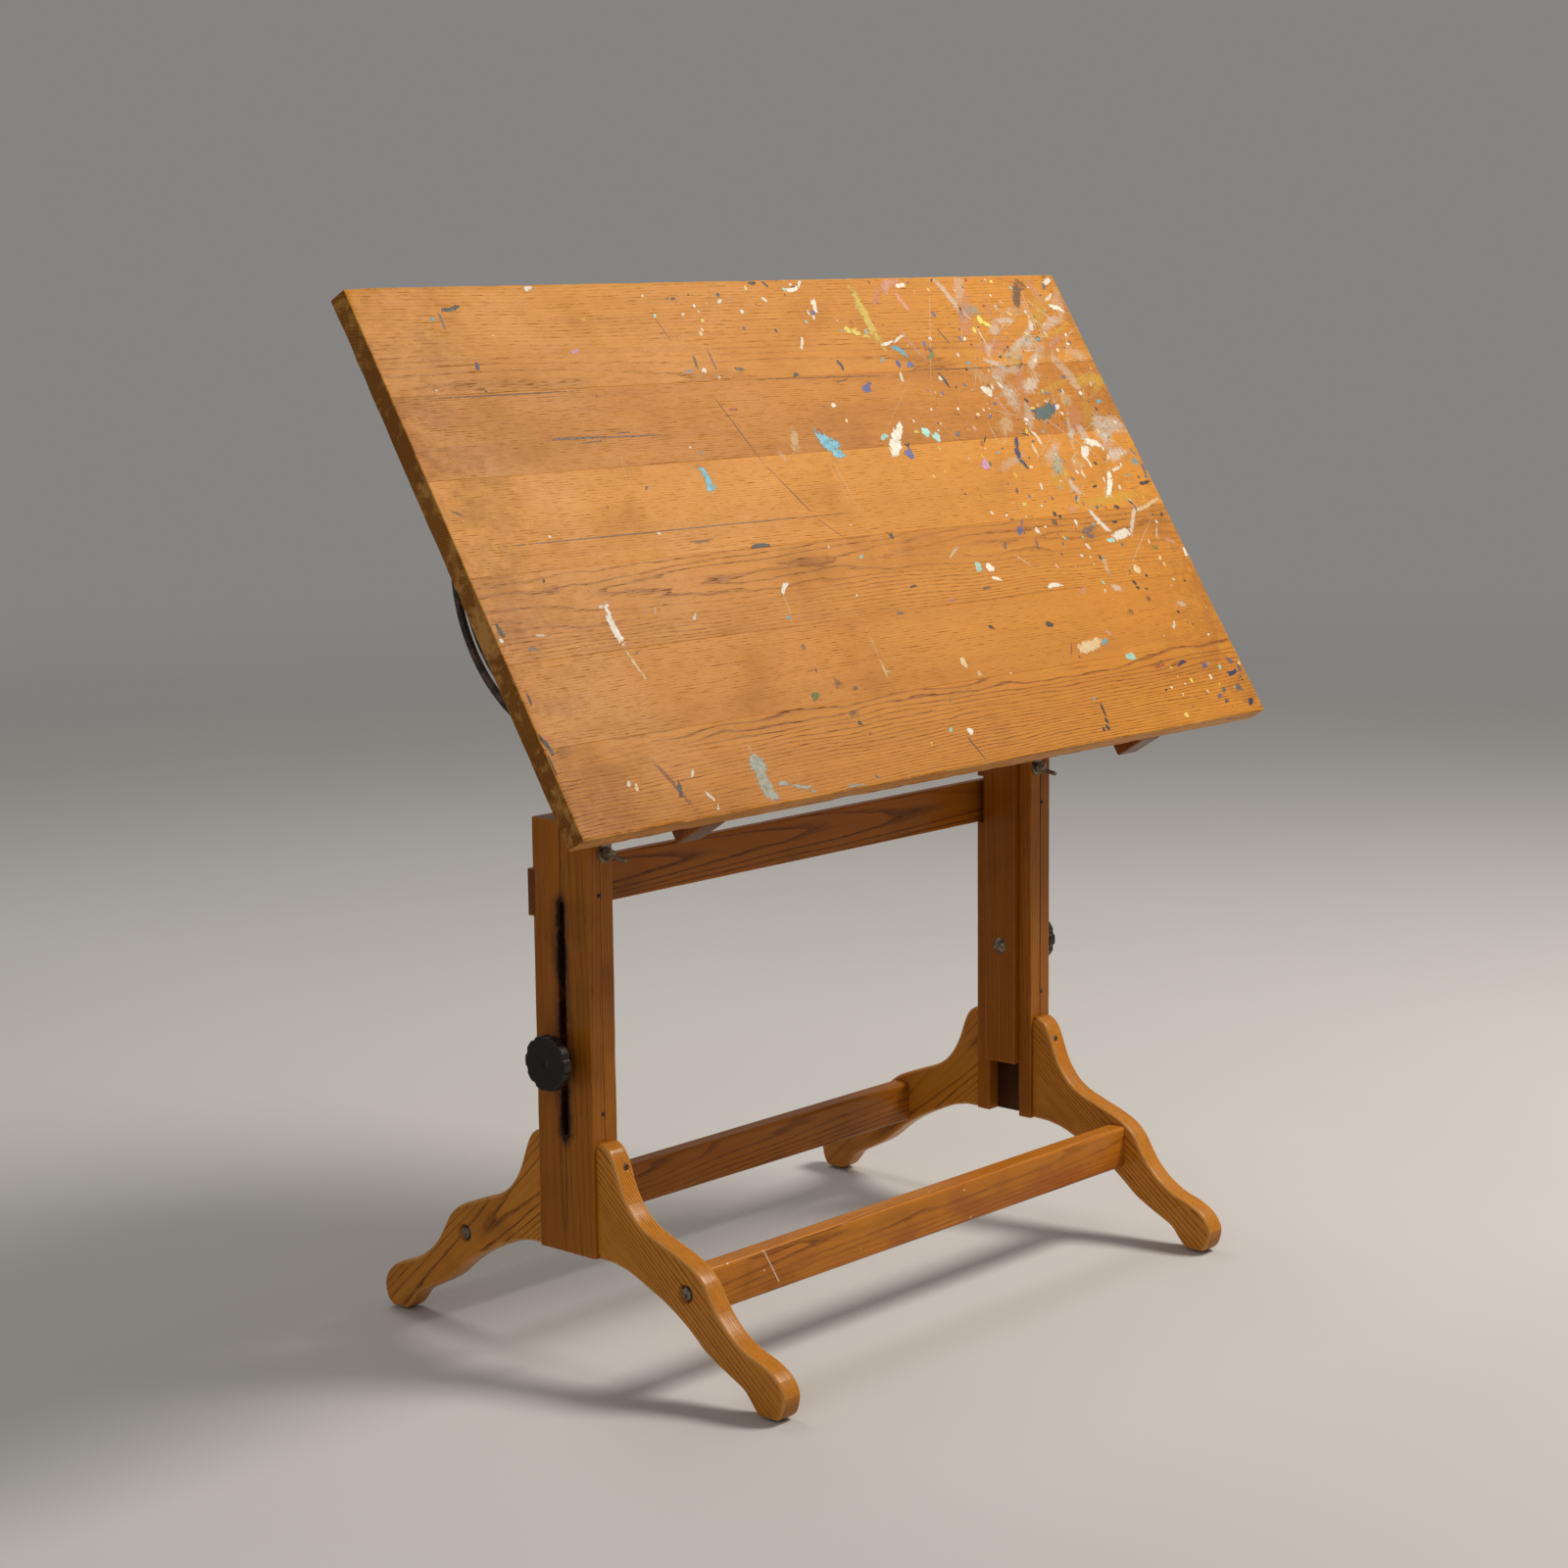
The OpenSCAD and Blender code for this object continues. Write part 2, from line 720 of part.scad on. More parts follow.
module batten(side) {
    color("darkorange") in_board_frame() on_side(side)
        difference() {
            translate([batten_x - batten_width / 2, batten_end_gap - pivot_up_board, foot_thick])
                cube([batten_width, board_depth - 2 * batten_end_gap, batten_depth]);
            for (n = [0 : len(plank_shares) - 1]) {
                batten_screw_row(n, batten_screw_d + 2 * drill_gap,
                    batten_screw_head_d + 2 * drill_gap, batten_screw_length + 1, 1);
                translate([batten_screw_x, plank_middle(n), foot_thick - through_eps])
                    cylinder(d = batten_bore_d, h = batten_bore_depth + through_eps);
            }
            foot_screw_pattern(foot_screw_d + 2 * drill_gap, foot_screw_d, foot_screw_length + 1);
        }
}

// curved slot on the middle line of the arc, with a drilled hole at each end
module arc_slot() {
    difference() {
        circle(clamp_r + arc_slot_w / 2, $fn = 180);
        circle(clamp_r - arc_slot_w / 2, $fn = 180);
        for (s = [-1, 1])
            rotate(-90 + s * arc_slot_half_angle)
                translate([0, s > 0 ? 0 : -2 * quadrant_radius]) square(2 * quadrant_radius);
        translate([-2 * quadrant_radius, 0]) square(4 * quadrant_radius);
    }
    for (s = [-1, 1])
        rotate(-90 + s * arc_slot_half_angle) translate([clamp_r, 0]) circle(d = arc_slot_end_d);
}

// half ring below the pivot line, with ends that run up into the feet
module quadrant_outline() {
    difference() {
        circle(quadrant_radius, $fn = 180);
        circle(quadrant_radius - quadrant_width, $fn = 180);
        translate([-2 * quadrant_radius, 0]) square(4 * quadrant_radius);
        arc_slot();
    }
    for (s = [0, 1])
        mirror([s, 0])
            translate([quadrant_radius - quadrant_width, -foot_thick / 2])
                square([quadrant_width - foot_overlap, 1.5 * foot_thick - foot_overlap]);
}

module quadrant(side) {
    color([0.1, 0.1, 0.1]) in_board_frame() on_side(side)
        difference() {
            union() {
                translate([post_mid_x - quadrant_thick / 2, 0, 0]) rotate([90, 0, 90])
                    linear_extrude(quadrant_thick) quadrant_outline();
                foot_places()
                    translate([foot_mid_x - foot_width / 2, foot_inner_r, 0])
                        cube([foot_width, foot_outer_r - foot_inner_r, foot_thick]);
            }
            foot_screw_pattern(foot_screw_d + 2 * drill_gap,
                foot_screw_head_d + 2 * drill_gap, foot_screw_length);
        }
}

module quadrant_screws() {
    color("gray") in_board_frame() both_sides()
        foot_screw_pattern(foot_screw_d, foot_screw_head_d, foot_screw_length);
}

// ---------- nodes ----------

plank(0);  // board_plank_1
plank(1);  // board_plank_2
plank(2);  // board_plank_3
plank(3);  // board_plank_4
plank(4);  // board_plank_5
plank(5);  // board_plank_6
batten(-1);  // batten_left
batten(1);  // batten_right
batten_screws();
quadrant(-1);  // quadrant_left
quadrant(1);  // quadrant_right
quadrant_screws();
post(-1);  // post_left
post(1);  // post_right
carriage_bolt(-1);  // carriage_bolt_left
carriage_bolt(1);  // carriage_bolt_right
knob_washers();
clamp_bolt(-1);  // clamp_bolt_left
clamp_bolt(1);  // clamp_bolt_right
clamp_washers();
clamp_wing_nut(-1);  // clamp_wing_nut_left
clamp_wing_nut(1);  // clamp_wing_nut_right
knob(-1);  // knob_left
knob(1);  // knob_right
knob_bush(-1);  // knob_bush_left
knob_bush(1);  // knob_bush_right
side_board(-1);  // side_board_left
side_board(1);  // side_board_right
stile(-1, -1);  // stile_front_left
stile(-1, 1);  // stile_rear_left
stile(1, -1);  // stile_front_right
stile(1, 1);  // stile_rear_right
leg_at(-1, -1);  // leg_front_left
leg_at(-1, 1);  // leg_rear_left
leg_at(1, -1);  // leg_front_right
leg_at(1, 1);  // leg_rear_right
stretcher(-1);  // stretcher_front
stretcher(1);  // stretcher_rear
top_rail();
rail_screws();
stretcher_bolts();
stretcher_bolt_washers();
stretcher_cross_nuts();
leg_screws();
leg_dowels();
edge_nails();
foot_glides();
thumb_screw(-1);  // thumb_screw_left
thumb_screw(1);  // thumb_screw_right
thumb_screw_inserts();
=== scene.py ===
import bpy
import bmesh
import json
import math
import random
from mathutils import Vector, Matrix, noise
from mathutils.kdtree import KDTree


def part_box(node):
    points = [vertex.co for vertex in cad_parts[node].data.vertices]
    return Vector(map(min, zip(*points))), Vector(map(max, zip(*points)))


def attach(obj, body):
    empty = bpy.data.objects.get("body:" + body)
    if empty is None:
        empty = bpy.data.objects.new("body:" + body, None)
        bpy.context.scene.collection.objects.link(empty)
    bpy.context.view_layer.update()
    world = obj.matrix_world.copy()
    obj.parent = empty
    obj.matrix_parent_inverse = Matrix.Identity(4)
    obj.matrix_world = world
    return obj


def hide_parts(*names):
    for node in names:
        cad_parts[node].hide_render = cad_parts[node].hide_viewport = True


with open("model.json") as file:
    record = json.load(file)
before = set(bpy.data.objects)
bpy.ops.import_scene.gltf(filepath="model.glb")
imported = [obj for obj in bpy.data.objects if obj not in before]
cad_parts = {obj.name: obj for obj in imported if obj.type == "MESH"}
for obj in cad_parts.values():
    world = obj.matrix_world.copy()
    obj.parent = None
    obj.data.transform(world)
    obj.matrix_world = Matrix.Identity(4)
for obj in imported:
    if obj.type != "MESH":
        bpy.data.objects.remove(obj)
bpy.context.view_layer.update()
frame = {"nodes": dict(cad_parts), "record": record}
nodes = frame["nodes"]
print("frame loaded:", len(nodes), "nodes")


# shader maths: a socket that adds its own Math nodes

class Sum:
    def __init__(self, paint, socket):
        self.paint = paint
        self.socket = socket

    def doMath(self, operation, a, b=0.0):
        return self.paint.add("ShaderNodeMath", {"operation": operation}, {0: a, 1: b})

    def __add__(self, other):
        return self.doMath("ADD", self, other)

    __radd__ = __add__

    def __sub__(self, other):
        return self.doMath("SUBTRACT", self, other)

    def __rsub__(self, other):
        return self.doMath("SUBTRACT", other, self)

    def __mul__(self, other):
        return self.doMath("MULTIPLY", self, other)

    __rmul__ = __mul__

    def __truediv__(self, other):
        return self.doMath("DIVIDE", self, other)

    def __pow__(self, other):
        return self.doMath("POWER", self, other)


class Paint:
    # one material and its nodes
    def __init__(self, name):
        self.material = bpy.data.materials.new(name)
        self.material.use_nodes = True
        self.tree = self.material.node_tree
        self.tree.nodes.clear()
        self.kept = {}

    def add(self, kind, settings, inputs, out=0):
        node = self.tree.nodes.new(kind)
        for key, value in settings.items():
            setattr(node, key, value)
        for key, value in inputs.items():
            if isinstance(value, Sum):
                self.tree.links.new(value.socket, node.inputs[key])
            elif isinstance(value, tuple) and len(value) == 3 and node.inputs[key].type == "RGBA":
                node.inputs[key].default_value = (*value, 1.0)
            else:
                node.inputs[key].default_value = value
        return None if out is None else Sum(self, node.outputs[out])

    def place(self, output="Object"):
        if output not in self.kept:
            self.kept[output] = self.add("ShaderNodeTexCoord", {}, {}, output)
        return self.kept[output]

    def attribute(self, name):
        return self.add("ShaderNodeAttribute", {"attribute_name": name}, {}, "Fac")

    def noise(self, at, scale=1.0, detail=2.0, rough=0.5):
        inputs = {"Vector": at, "Scale": scale, "Detail": detail, "Roughness": rough}
        return self.add("ShaderNodeTexNoise", {}, inputs, "Fac")

    def stretch(self, at, scale, shift=(0.0, 0.0, 0.0)):
        return self.add("ShaderNodeVectorMath", {"operation": "MULTIPLY_ADD"}, {0: at, 1: scale, 2: shift})

    def dot(self, at, axis):
        inputs = {0: at, 1: tuple(axis)}
        return self.add("ShaderNodeVectorMath", {"operation": "DOT_PRODUCT"}, inputs, "Value")

    def join(self, x, y, z=0.0):
        return self.add("ShaderNodeCombineXYZ", {}, {0: x, 1: y, 2: z})

    def ease(self, value, low, high, lowOut=0.0, highOut=1.0):
        inputs = {"Value": value, "From Min": low, "From Max": high, "To Min": lowOut, "To Max": highOut}
        return self.add("ShaderNodeMapRange", {"interpolation_type": "SMOOTHSTEP"}, inputs)

    def mix(self, amount, a, b, blend="MIX"):
        settings = {"data_type": "RGBA", "blend_type": blend}
        return self.add("ShaderNodeMix", settings, {0: amount, 6: a, 7: b}, 2)

    def greater(self, a, b):
        return self.add("ShaderNodeMath", {"operation": "MAXIMUM"}, {0: a, 1: b})

    def fraction(self, a):
        return self.add("ShaderNodeMath", {"operation": "FRACT"}, {0: a})

    def size(self, a):
        return self.add("ShaderNodeMath", {"operation": "ABSOLUTE"}, {0: a})

    def bump(self, height, strength, distance):
        inputs = {"Strength": strength, "Distance": distance, "Height": height}
        return self.add("ShaderNodeBump", {}, inputs)

    def finish(self, colour, rough, normal, metal=0.0, fixed=None, alpha=1.0):
        inputs = {"Base Color": colour, "Roughness": rough, "Metallic": metal, "Normal": normal}
        inputs.update(fixed or {}, Alpha=alpha)
        shader = self.add("ShaderNodeBsdfPrincipled", {}, inputs)
        self.add("ShaderNodeOutputMaterial", {}, {"Surface": shader}, None)
        return self.material


# the frame: which body and finish each node has, and how the board lies

record = frame["record"]
bodyOf = {node: body for body, members in record["behaviour"]["bodies"].items() for node in members}
slotOf = {part["node"]: part["material_slot"] for part in record["subparts"]}
plankNames = sorted(name for name in nodes if name.startswith("board_plank_"))
xAxis, yAxis, zAxis = Vector((1, 0, 0)), Vector((0, 1, 0)), Vector((0, 0, 1))
acrossBoard = xAxis
slack = {"board": 0.0002, "box": 0.0004, "iron": 0.0003}  # how far an edge may lie off a face it belongs to
steep = 0.5  # cosine: an edge that turns further than this from an axis doesn't run along it


def biggestFace(node, wanted):
    faces = sorted(nodes[node].data.polygons, key=lambda face: -face.area)
    return next(face.normal.copy() for face in faces if wanted(face.normal))


# points up out of the drawing face
outOfBoard = biggestFace(plankNames[0], lambda normal: normal.y < 0.02 and normal.z > 0.02)
upBoard = outOfBoard.cross(acrossBoard)


def reach(names, axis):
    spans = [v.co.dot(axis) for name in names for v in nodes[name].data.vertices]
    return min(spans), max(spans)


boardLow, boardHigh = reach(plankNames, upBoard)
boardBack, boardFace = reach(plankNames, outOfBoard)
boardEnd = reach(plankNames, acrossBoard)[1]
plankSpans = {name: reach([name], upBoard) for name in plankNames}
print("board tilt:", round(math.degrees(math.atan2(upBoard.z, upBoard.y)), 2))


# wood

oakLook = {
    "pale": (0.60, 0.245, 0.048), "mid": (0.47, 0.175, 0.030), "dark": (0.20, 0.062, 0.010),
    "pore": (0.075, 0.022, 0.005), "bare": (0.60, 0.28, 0.07), "end": (0.075, 0.024, 0.006),
    "ring": 0.0034, "wave": 0.0030, "pithSide": 0.0, "pithDepth": 0.05, "lean": 0.02, "sway": 0.014,
    "grain": 0.6, "pores": 0.7, "rough": 0.38, "coat": 0.0, "coatRough": 0.2, "shine": 0.12, "rub": 0.35,
    "rubWidth": 0.0026, "seed": 1.0, "bump": 0.35, "relief": 0.0006, "grime": 0.35,
}
# noise cells in a metre: along the grain, across it and through the board
grainCells = {"sway": (1.5, 8, 8), "ripple": (8, 55, 55), "patchy": (2.5, 20, 20), "streak": (52, 760, 760),
              "fibre": (4.5, 150, 150), "broad": (1.1, 10, 10), "spots": (9, 9, 9), "ragged": (70, 70, 70),
              "patch": (11, 11, 11)}


def oak(paint, look, along, across, middle):
    depth = along.cross(across)
    at = paint.place()
    x = paint.dot(at, along) - middle.dot(along)
    y = paint.dot(at, across) - middle.dot(across)
    z = paint.dot(at, depth) - middle.dot(depth)
    grain = paint.join(x, y, z)
    shift = tuple(look["seed"] * far for far in (7.31, 3.77, 5.13))

    def cells(space, name, detail, rough=0.5):
        return paint.noise(paint.stretch(space, grainCells[name], shift), 1, detail, rough)

    sway = cells(grain, "sway", 1.5) - 0.5
    ripple = cells(grain, "ripple", 2) - 0.5
    side = y - look["pithSide"]
    deep = z + x * look["lean"] + look["pithDepth"]
    radius = (side * side + deep * deep) ** 0.5 + sway * look["sway"] + ripple * look["wave"]
    turn = paint.fraction(radius / look["ring"])
    # the porous side of each ring
    early = paint.greater(paint.ease(turn, 0.02, 0.36, 1, 0), paint.ease(turn, 0.94, 1.0))
    patchy = cells(grain, "patchy", 2)
    streak = cells(grain, "streak", 2, 0.6)
    early = early * paint.ease(patchy, 0.25, 0.62, 0.25, 1.0) * paint.ease(streak, 0.38, 0.58, 0.55, 1.0)
    pore = paint.ease(streak, 0.56, 0.70) * (early * 0.8 + 0.25)
    fibre = cells(grain, "fibre", 4, 0.6)
    broad = cells(grain, "broad", 2)
    tone = paint.ease(fibre * 0.55 + broad * 0.75, 0.42, 0.88)
    colour = paint.mix(tone, look["mid"], look["pale"])
    colour = paint.mix(early * look["grain"], colour, look["dark"])
    colour = paint.mix(pore * look["pores"], colour, look["pore"])
    facing = paint.size(paint.dot(paint.place("Normal"), along))  # end grain drinks more varnish
    ends = paint.ease(facing, 0.62, 0.92)
    colour = paint.mix(ends * (early * 0.25 + 0.65), colour, look["end"])
    spots = cells(at, "spots", 3)
    grime = paint.ease(spots, 0.52, 0.78) * look["grime"]
    colour = paint.mix(grime, colour, look["dark"])
    ragged = cells(at, "ragged", 3, 0.65)
    patch = cells(at, "patch", 1)
    gap = paint.attribute("rimGap") + (ragged - 0.5) * 0.0045 - (patch - 0.5) * 0.003
    wear = paint.ease(gap, look["rubWidth"] * 0.3, look["rubWidth"], 1, 0)
    colour = paint.mix(wear * look["rub"], colour, look["bare"])
    height = tone * 0.25 - pore * 0.9 - early * 0.25 + (spots - 0.5) * 1.2
    rough = pore * 0.2 + wear * 0.16 + (spots - 0.5) * 0.22 + (ragged - 0.5) * 0.08 + look["rough"]
    return {"colour": colour, "rough": rough, "height": height, "at": at, "x": x, "ragged": ragged,
            "spots": spots}


def oakMaterial(name, changes, along, across, middle, extra=None):
    look = {**oakLook, **changes}
    paint = Paint(name)
    wood = oak(paint, look, along, across, middle)
    if extra:
        extra(paint, wood)
    normal = paint.bump(wood["height"], look["bump"], look["relief"])
    varnish = {"Coat Weight": look["coat"], "Coat Roughness": look["coatRough"],
               "Specular IOR Level": look["shine"]}
    return paint.finish(wood["colour"], wood["rough"], normal, fixed=varnish)


# old paint on the drawing board, and one painted shadow streak, in millimetres from the middle and from the
# low edge

paintPot = {
    "white": (0.80, 0.76, 0.66), "cream": (0.78, 0.60, 0.34), "sky": (0.13, 0.45, 0.58),
    "aqua": (0.36, 0.68, 0.60), "navy": (0.012, 0.012, 0.11), "blue": (0.07, 0.12, 0.36),
    "slate": (0.13, 0.13, 0.17), "teal": (0.05, 0.11, 0.12), "yellow": (0.76, 0.50, 0.03),
    "lemon": (0.78, 0.66, 0.13), "lilac": (0.58, 0.28, 0.46), "pink": (0.72, 0.36, 0.24),
    "red": (0.42, 0.06, 0.03), "green": (0.11, 0.20, 0.03), "black": (0.022, 0.014, 0.010),
    "umber": (0.13, 0.07, 0.03), "mist": (0.38, 0.43, 0.36), "scratch": (0.11, 0.040, 0.012),
}

# across, up, half length, half width, turn in degrees, paint, cover
paintMarks = [
    (23, 425, 19, 11, -35, "sky", 1.0), (34, 411, 10, 6, 0, "sky", 1.0), (20, 442, 4, 3, 30, "red", 0.8),
    (-30, 432, 25, 8, 60, "cream", 0.5), (-62, 413, 14, 5, -60, "cream", 0.35),
    (143, 418, 21, 9, 50, "white", 1.0), (158, 432, 21, 5, 46, "white", 1.0),
    (135, 405, 8, 5, 20, "white", 0.9), (160, 402, 9, 7, 30, "blue", 0.9), (163, 414, 5, 3, 0, "black", 0.9),
    (129, 429, 9, 4, 15, "aqua", 0.8), (208, 430, 8, 7, 0, "aqua", 1.0), (223, 422, 8, 7, 0, "aqua", 1.0),
    (192, 432, 6, 3, 0, "lemon", 0.7), (370, 406, 10, 3.5, 60, "navy", 1.0),
    (363, 392, 9, 5.5, 75, "navy", 1.0), (365, 378, 9, 3.5, -55, "navy", 1.0),
    (291, 379, 10, 6.5, 38, "lilac", 0.95), (455, 445, 27, 10, 10, "teal", 0.95),
    (437, 452, 9, 3, -15, "yellow", 1.0), (478, 452, 9, 4, 25, "blue", 0.8),
    (448, 450, 8, 4, 0, "mist", 0.5), (486, 453, 7, 4, 20, "white", 0.8),
    (-201, 392, 16, 5, 88, "sky", 0.95), (-199, 380, 6, 4, 10, "sky", 0.9),
    (-193, 425, 6, 2, 40, "sky", 0.5), (138, 495, 9, 6, 30, "blue", 0.85), (147, 501, 6, 3, 10, "blue", 0.7),
    (111, 528, 9, 3, 105, "black", 0.95), (65, 475, 4, 3, 20, "white", 0.9),
    (-108, 477, 7, 2, 5, "red", 0.8), (-127, 530, 5, 3, 10, "white", 0.95),
    (-152, 530, 9, 2.3, 0, "sky", 0.55), (-135, 541, 9, 2, 78, "scratch", 0.9),
    (-106, 543, 15, 1.2, 89, "scratch", 0.9), (25, 519, 6, 2.6, 0, "black", 0.9),
    (-68, 529, 8, 2.4, -10, "umber", 0.9), (-124, 626, 5, 2, 0, "black", 0.9),
    (88, 634, 13, 3.4, 8, "white", 1.0), (91, 637, 8, 2, 6, "black", 0.9),
    (105, 643, 9, 2, 52, "white", 0.9), (113, 612, 11, 4, 75, "white", 0.95),
    (105, 601, 4, 4, 0, "blue", 0.9), (61, 561, 12, 2.2, 55, "white", 0.9),
    (24, 645, 8, 3, 20, "black", 0.9), (43, 643, 8, 2, -55, "black", 0.8), (-18, 606, 4, 3, 0, "white", 0.9),
    (154, 577, 6, 5, -30, "lemon", 0.9), (166, 572, 9, 3.5, -25, "lemon", 0.8),
    (182, 567, 9, 3, -10, "lemon", 0.6), (198, 592, 54, 9, 93, "lemon", 0.6),
    (186, 573, 5, 5, 0, "aqua", 0.5), (190, 532, 7, 4, 10, "mist", 0.7),
    (214, 555, 13, 2.2, 12, "white", 0.9), (240, 562, 14, 1.8, 22, "white", 0.8),
    (230, 546, 14, 5, -30, "sky", 0.75), (217, 526, 5, 6, 0, "blue", 0.75), (238, 525, 7, 4, 5, "blue", 0.9),
    (211, 508, 7, 2.4, 72, "white", 0.8), (286, 535, 9, 3, 32, "green", 0.9),
    (289, 543, 5, 4, 0, "slate", 0.7), (260, 552, 30, 4, -63, "pink", 0.55),
    (283, 504, 3.5, 3.5, 0, "white", 1.0), (289, 499, 10, 3, -70, "black", 0.95),
    (268, 640, 26, 9, 30, "pink", 0.7), (292, 637, 11, 3, 6, "white", 1.0),
    (278, 614, 16, 4, -72, "pink", 0.8), (236, 622, 22, 6, 50, "pink", 0.4),
    (374, 622, 42, 7, -68, "white", 0.45), (405, 598, 24, 11, 5, "mist", 0.45),
    (391, 592, 12, 6, -60, "white", 0.5), (415, 584, 6, 7, 0, "lemon", 1.0),
    (424, 577, 9, 4, -25, "lemon", 0.9), (394, 569, 4, 5, 0, "lemon", 0.8),
    (403, 556, 22, 2, -86, "white", 0.6), (514, 619, 28, 8, 52, "umber", 0.7),
    (534, 636, 14, 5, -35, "umber", 0.55), (590, 637, 12, 4, 20, "white", 0.8),
    (580, 632, 8, 4, 50, "slate", 0.7), (584, 598, 13, 4, -18, "white", 0.9),
    (578, 613, 14, 3, 25, "white", 0.7), (513, 572, 12, 5, 62, "white", 0.7),
    (480, 552, 64, 6, 28, "white", 0.42), (548, 548, 34, 6, 24, "pink", 0.4),
    (545, 560, 55, 5, 10, "yellow", 0.35), (552, 590, 34, 3, -42, "white", 0.35),
    (455, 486, 30, 12, 22, "white", 0.5), (500, 482, 55, 6, 15, "yellow", 0.3),
    (362, 482, 12, 6, -35, "white", 0.85), (376, 462, 28, 3.5, -62, "pink", 0.6),
    (402, 520, 26, 5, -25, "white", 0.45), (585, 486, 8, 6, 60, "pink", 0.6),
    (577, 457, 7, 3.4, 18, "sky", 0.8), (523, 398, 17, 7, -15, "white", 0.95),
    (498, 386, 15, 7, 35, "white", 0.9), (496, 371, 9, 3, -78, "white", 0.9),
    (562, 380, 30, 12, 12, "white", 0.5), (592, 366, 11, 7, -20, "sky", 0.55),
    (604, 355, 10, 4, 80, "slate", 0.7), (517, 337, 22, 4.5, 53, "white", 1.0),
    (546, 358, 12, 2.4, 14, "white", 0.8), (590, 334, 13, 2.6, 6, "black", 0.85),
    (484, 336, 6, 1.8, 12, "black", 0.8), (430, 368, 26, 12, 50, "aqua", 0.35),
    (438, 358, 7, 5, 30, "lemon", 0.5), (416, 412, 14, 3.2, -70, "white", 0.75),
    (400, 395, 10, 4, 88, "cream", 0.8), (441, 338, 20, 7, -62, "white", 0.45),
    (303, 408, 6, 5, 20, "red", 0.45), (313, 415, 8, 1.2, 45, "black", 0.8),
    (344, 446, 6, 3, 40, "blue", 0.6), (395, 417, 7, 1.2, -20, "black", 0.8),
    (327, 563, 15, 1.3, -62, "scratch", 0.9), (374, 548, 4, 3, 0, "red", 0.7),
    (577, 546, 5, 3, 0, "red", 0.7), (500, 316, 100, 9, 3, "yellow", 0.4),
    (417, 345, 22, 18, 20, "yellow", 0.3), (207, 242, 7, 6, -20, "white", 1.0),
    (210, 228, 9, 2.3, -15, "white", 1.0), (187, 245, 8, 6, 40, "aqua", 0.9),
    (312, 209, 15, 3, 1, "white", 0.95), (296, 287, 8, 5, 35, "blue", 0.75),
    (307, 297, 9, 2, 55, "blue", 0.6), (316, 266, 13, 2.4, 75, "slate", 0.6),
    (329, 284, 4, 5, 0, "white", 0.85), (378, 303, 4, 3.5, 0, "black", 0.95),
    (386, 299, 4, 3, 0, "black", 0.9), (370, 292, 6, 5, 20, "umber", 0.7),
    (255, 269, 6, 3, 58, "slate", 0.7), (275, 247, 17, 1.8, -38, "cream", 0.6),
    (431, 278, 20, 6, 10, "slate", 0.55), (427, 268, 8, 3, -28, "slate", 0.9),
    (459, 287, 24, 4.5, -58, "white", 0.75), (492, 266, 22, 7, 8, "white", 0.85),
    (528, 284, 34, 4.5, 46, "white", 0.6), (465, 259, 8, 3, 0, "aqua", 0.9),
    (575, 302, 36, 3.5, 14, "cream", 0.7), (490, 284, 6, 2, 0, "black", 0.9),
    (415, 308, 9, 6, 10, "pink", 0.6), (429, 226, 18, 6, 84, "cream", 0.45),
    (431, 195, 12, 7, -20, "white", 0.5), (488, 216, 7, 6, -30, "cream", 0.9),
    (268, 159, 7, 4.3, -8, "black", 1.0), (362, 197, 11, 3.5, 28, "pink", 0.6),
    (324, 123, 27, 8, 6, "cream", 0.85), (357, 126, 9, 3.4, 25, "sky", 0.75),
    (371, 137, 8, 2.6, -25, "pink", 0.7), (286, 122, 13, 1.6, 58, "red", 0.6),
    (393, 101, 11, 5, 0, "aqua", 0.9), (440, 82, 16, 3, 6, "red", 0.5), (487, 82, 11, 3, 12, "navy", 0.75),
    (530, 73, 8, 4, 14, "blue", 0.65), (586, 74, 8, 5, -40, "slate", 0.7),
    (580, 57, 10, 3.4, 8, "navy", 0.9), (598, 62, 8, 4, 80, "slate", 0.7), (578, 37, 9, 6, 0, "slate", 0.65),
    (545, 36, 7, 3.6, 25, "slate", 0.7), (531, 30, 9, 4, 20, "blue", 0.5), (590, 15, 8, 4, 25, "navy", 0.9),
    (541, 22, 5, 3, 0, "umber", 0.8), (292, 39, 10, 3, 84, "black", 0.7), (289, 26, 4, 3.6, 0, "black", 1.0),
    (285, 16, 4, 3.6, 30, "black", 1.0), (276, 15, 2.6, 3.2, 0, "black", 1.0),
    (447, 12, 4.5, 4, 0, "lemon", 0.9), (509, 133, 8, 2.8, 50, "white", 0.7),
    (545, 160, 12, 6, -10, "white", 0.35), (472, 190, 4, 2.4, 0, "black", 0.8),
    (489, 187, 4, 2, 0, "black", 0.7), (482, 173, 6, 6, 0, "umber", 0.45),
    (435, 160, 9, 5, -10, "umber", 0.35), (530, 150, 3, 2.6, 0, "black", 0.8),
    (548, 241, 5, 2.4, 0, "green", 0.8), (565, 263, 14, 1.4, 52, "white", 0.6),
    (584, 250, 11, 5, -20, "pink", 0.6), (606, 231, 7, 4, 80, "white", 0.9),
    (-474, 619, 14, 2.6, 8, "black", 1.0), (-505, 608, 4.5, 3.4, 20, "sky", 0.7),
    (-492, 606, 10, 1.8, 88, "slate", 0.8), (-470, 548, 6, 3.2, 76, "navy", 0.9),
    (-316, 561, 7, 2.6, 20, "lilac", 0.8), (-345, 645, 8, 4, 30, "white", 0.9),
    (-282, 602, 4.4, 3, 0, "yellow", 0.6), (-443, 253, 9, 2.2, 0, "white", 0.8),
    (-441, 228, 26, 5.0, 93, "white", 0.9), (-437, 214, 3.4, 3.4, 0, "white", 1.0),
    (-434, 184, 26, 2.6, -74, "cream", 0.7), (-371, 240, 7, 1.8, 68, "white", 0.5),
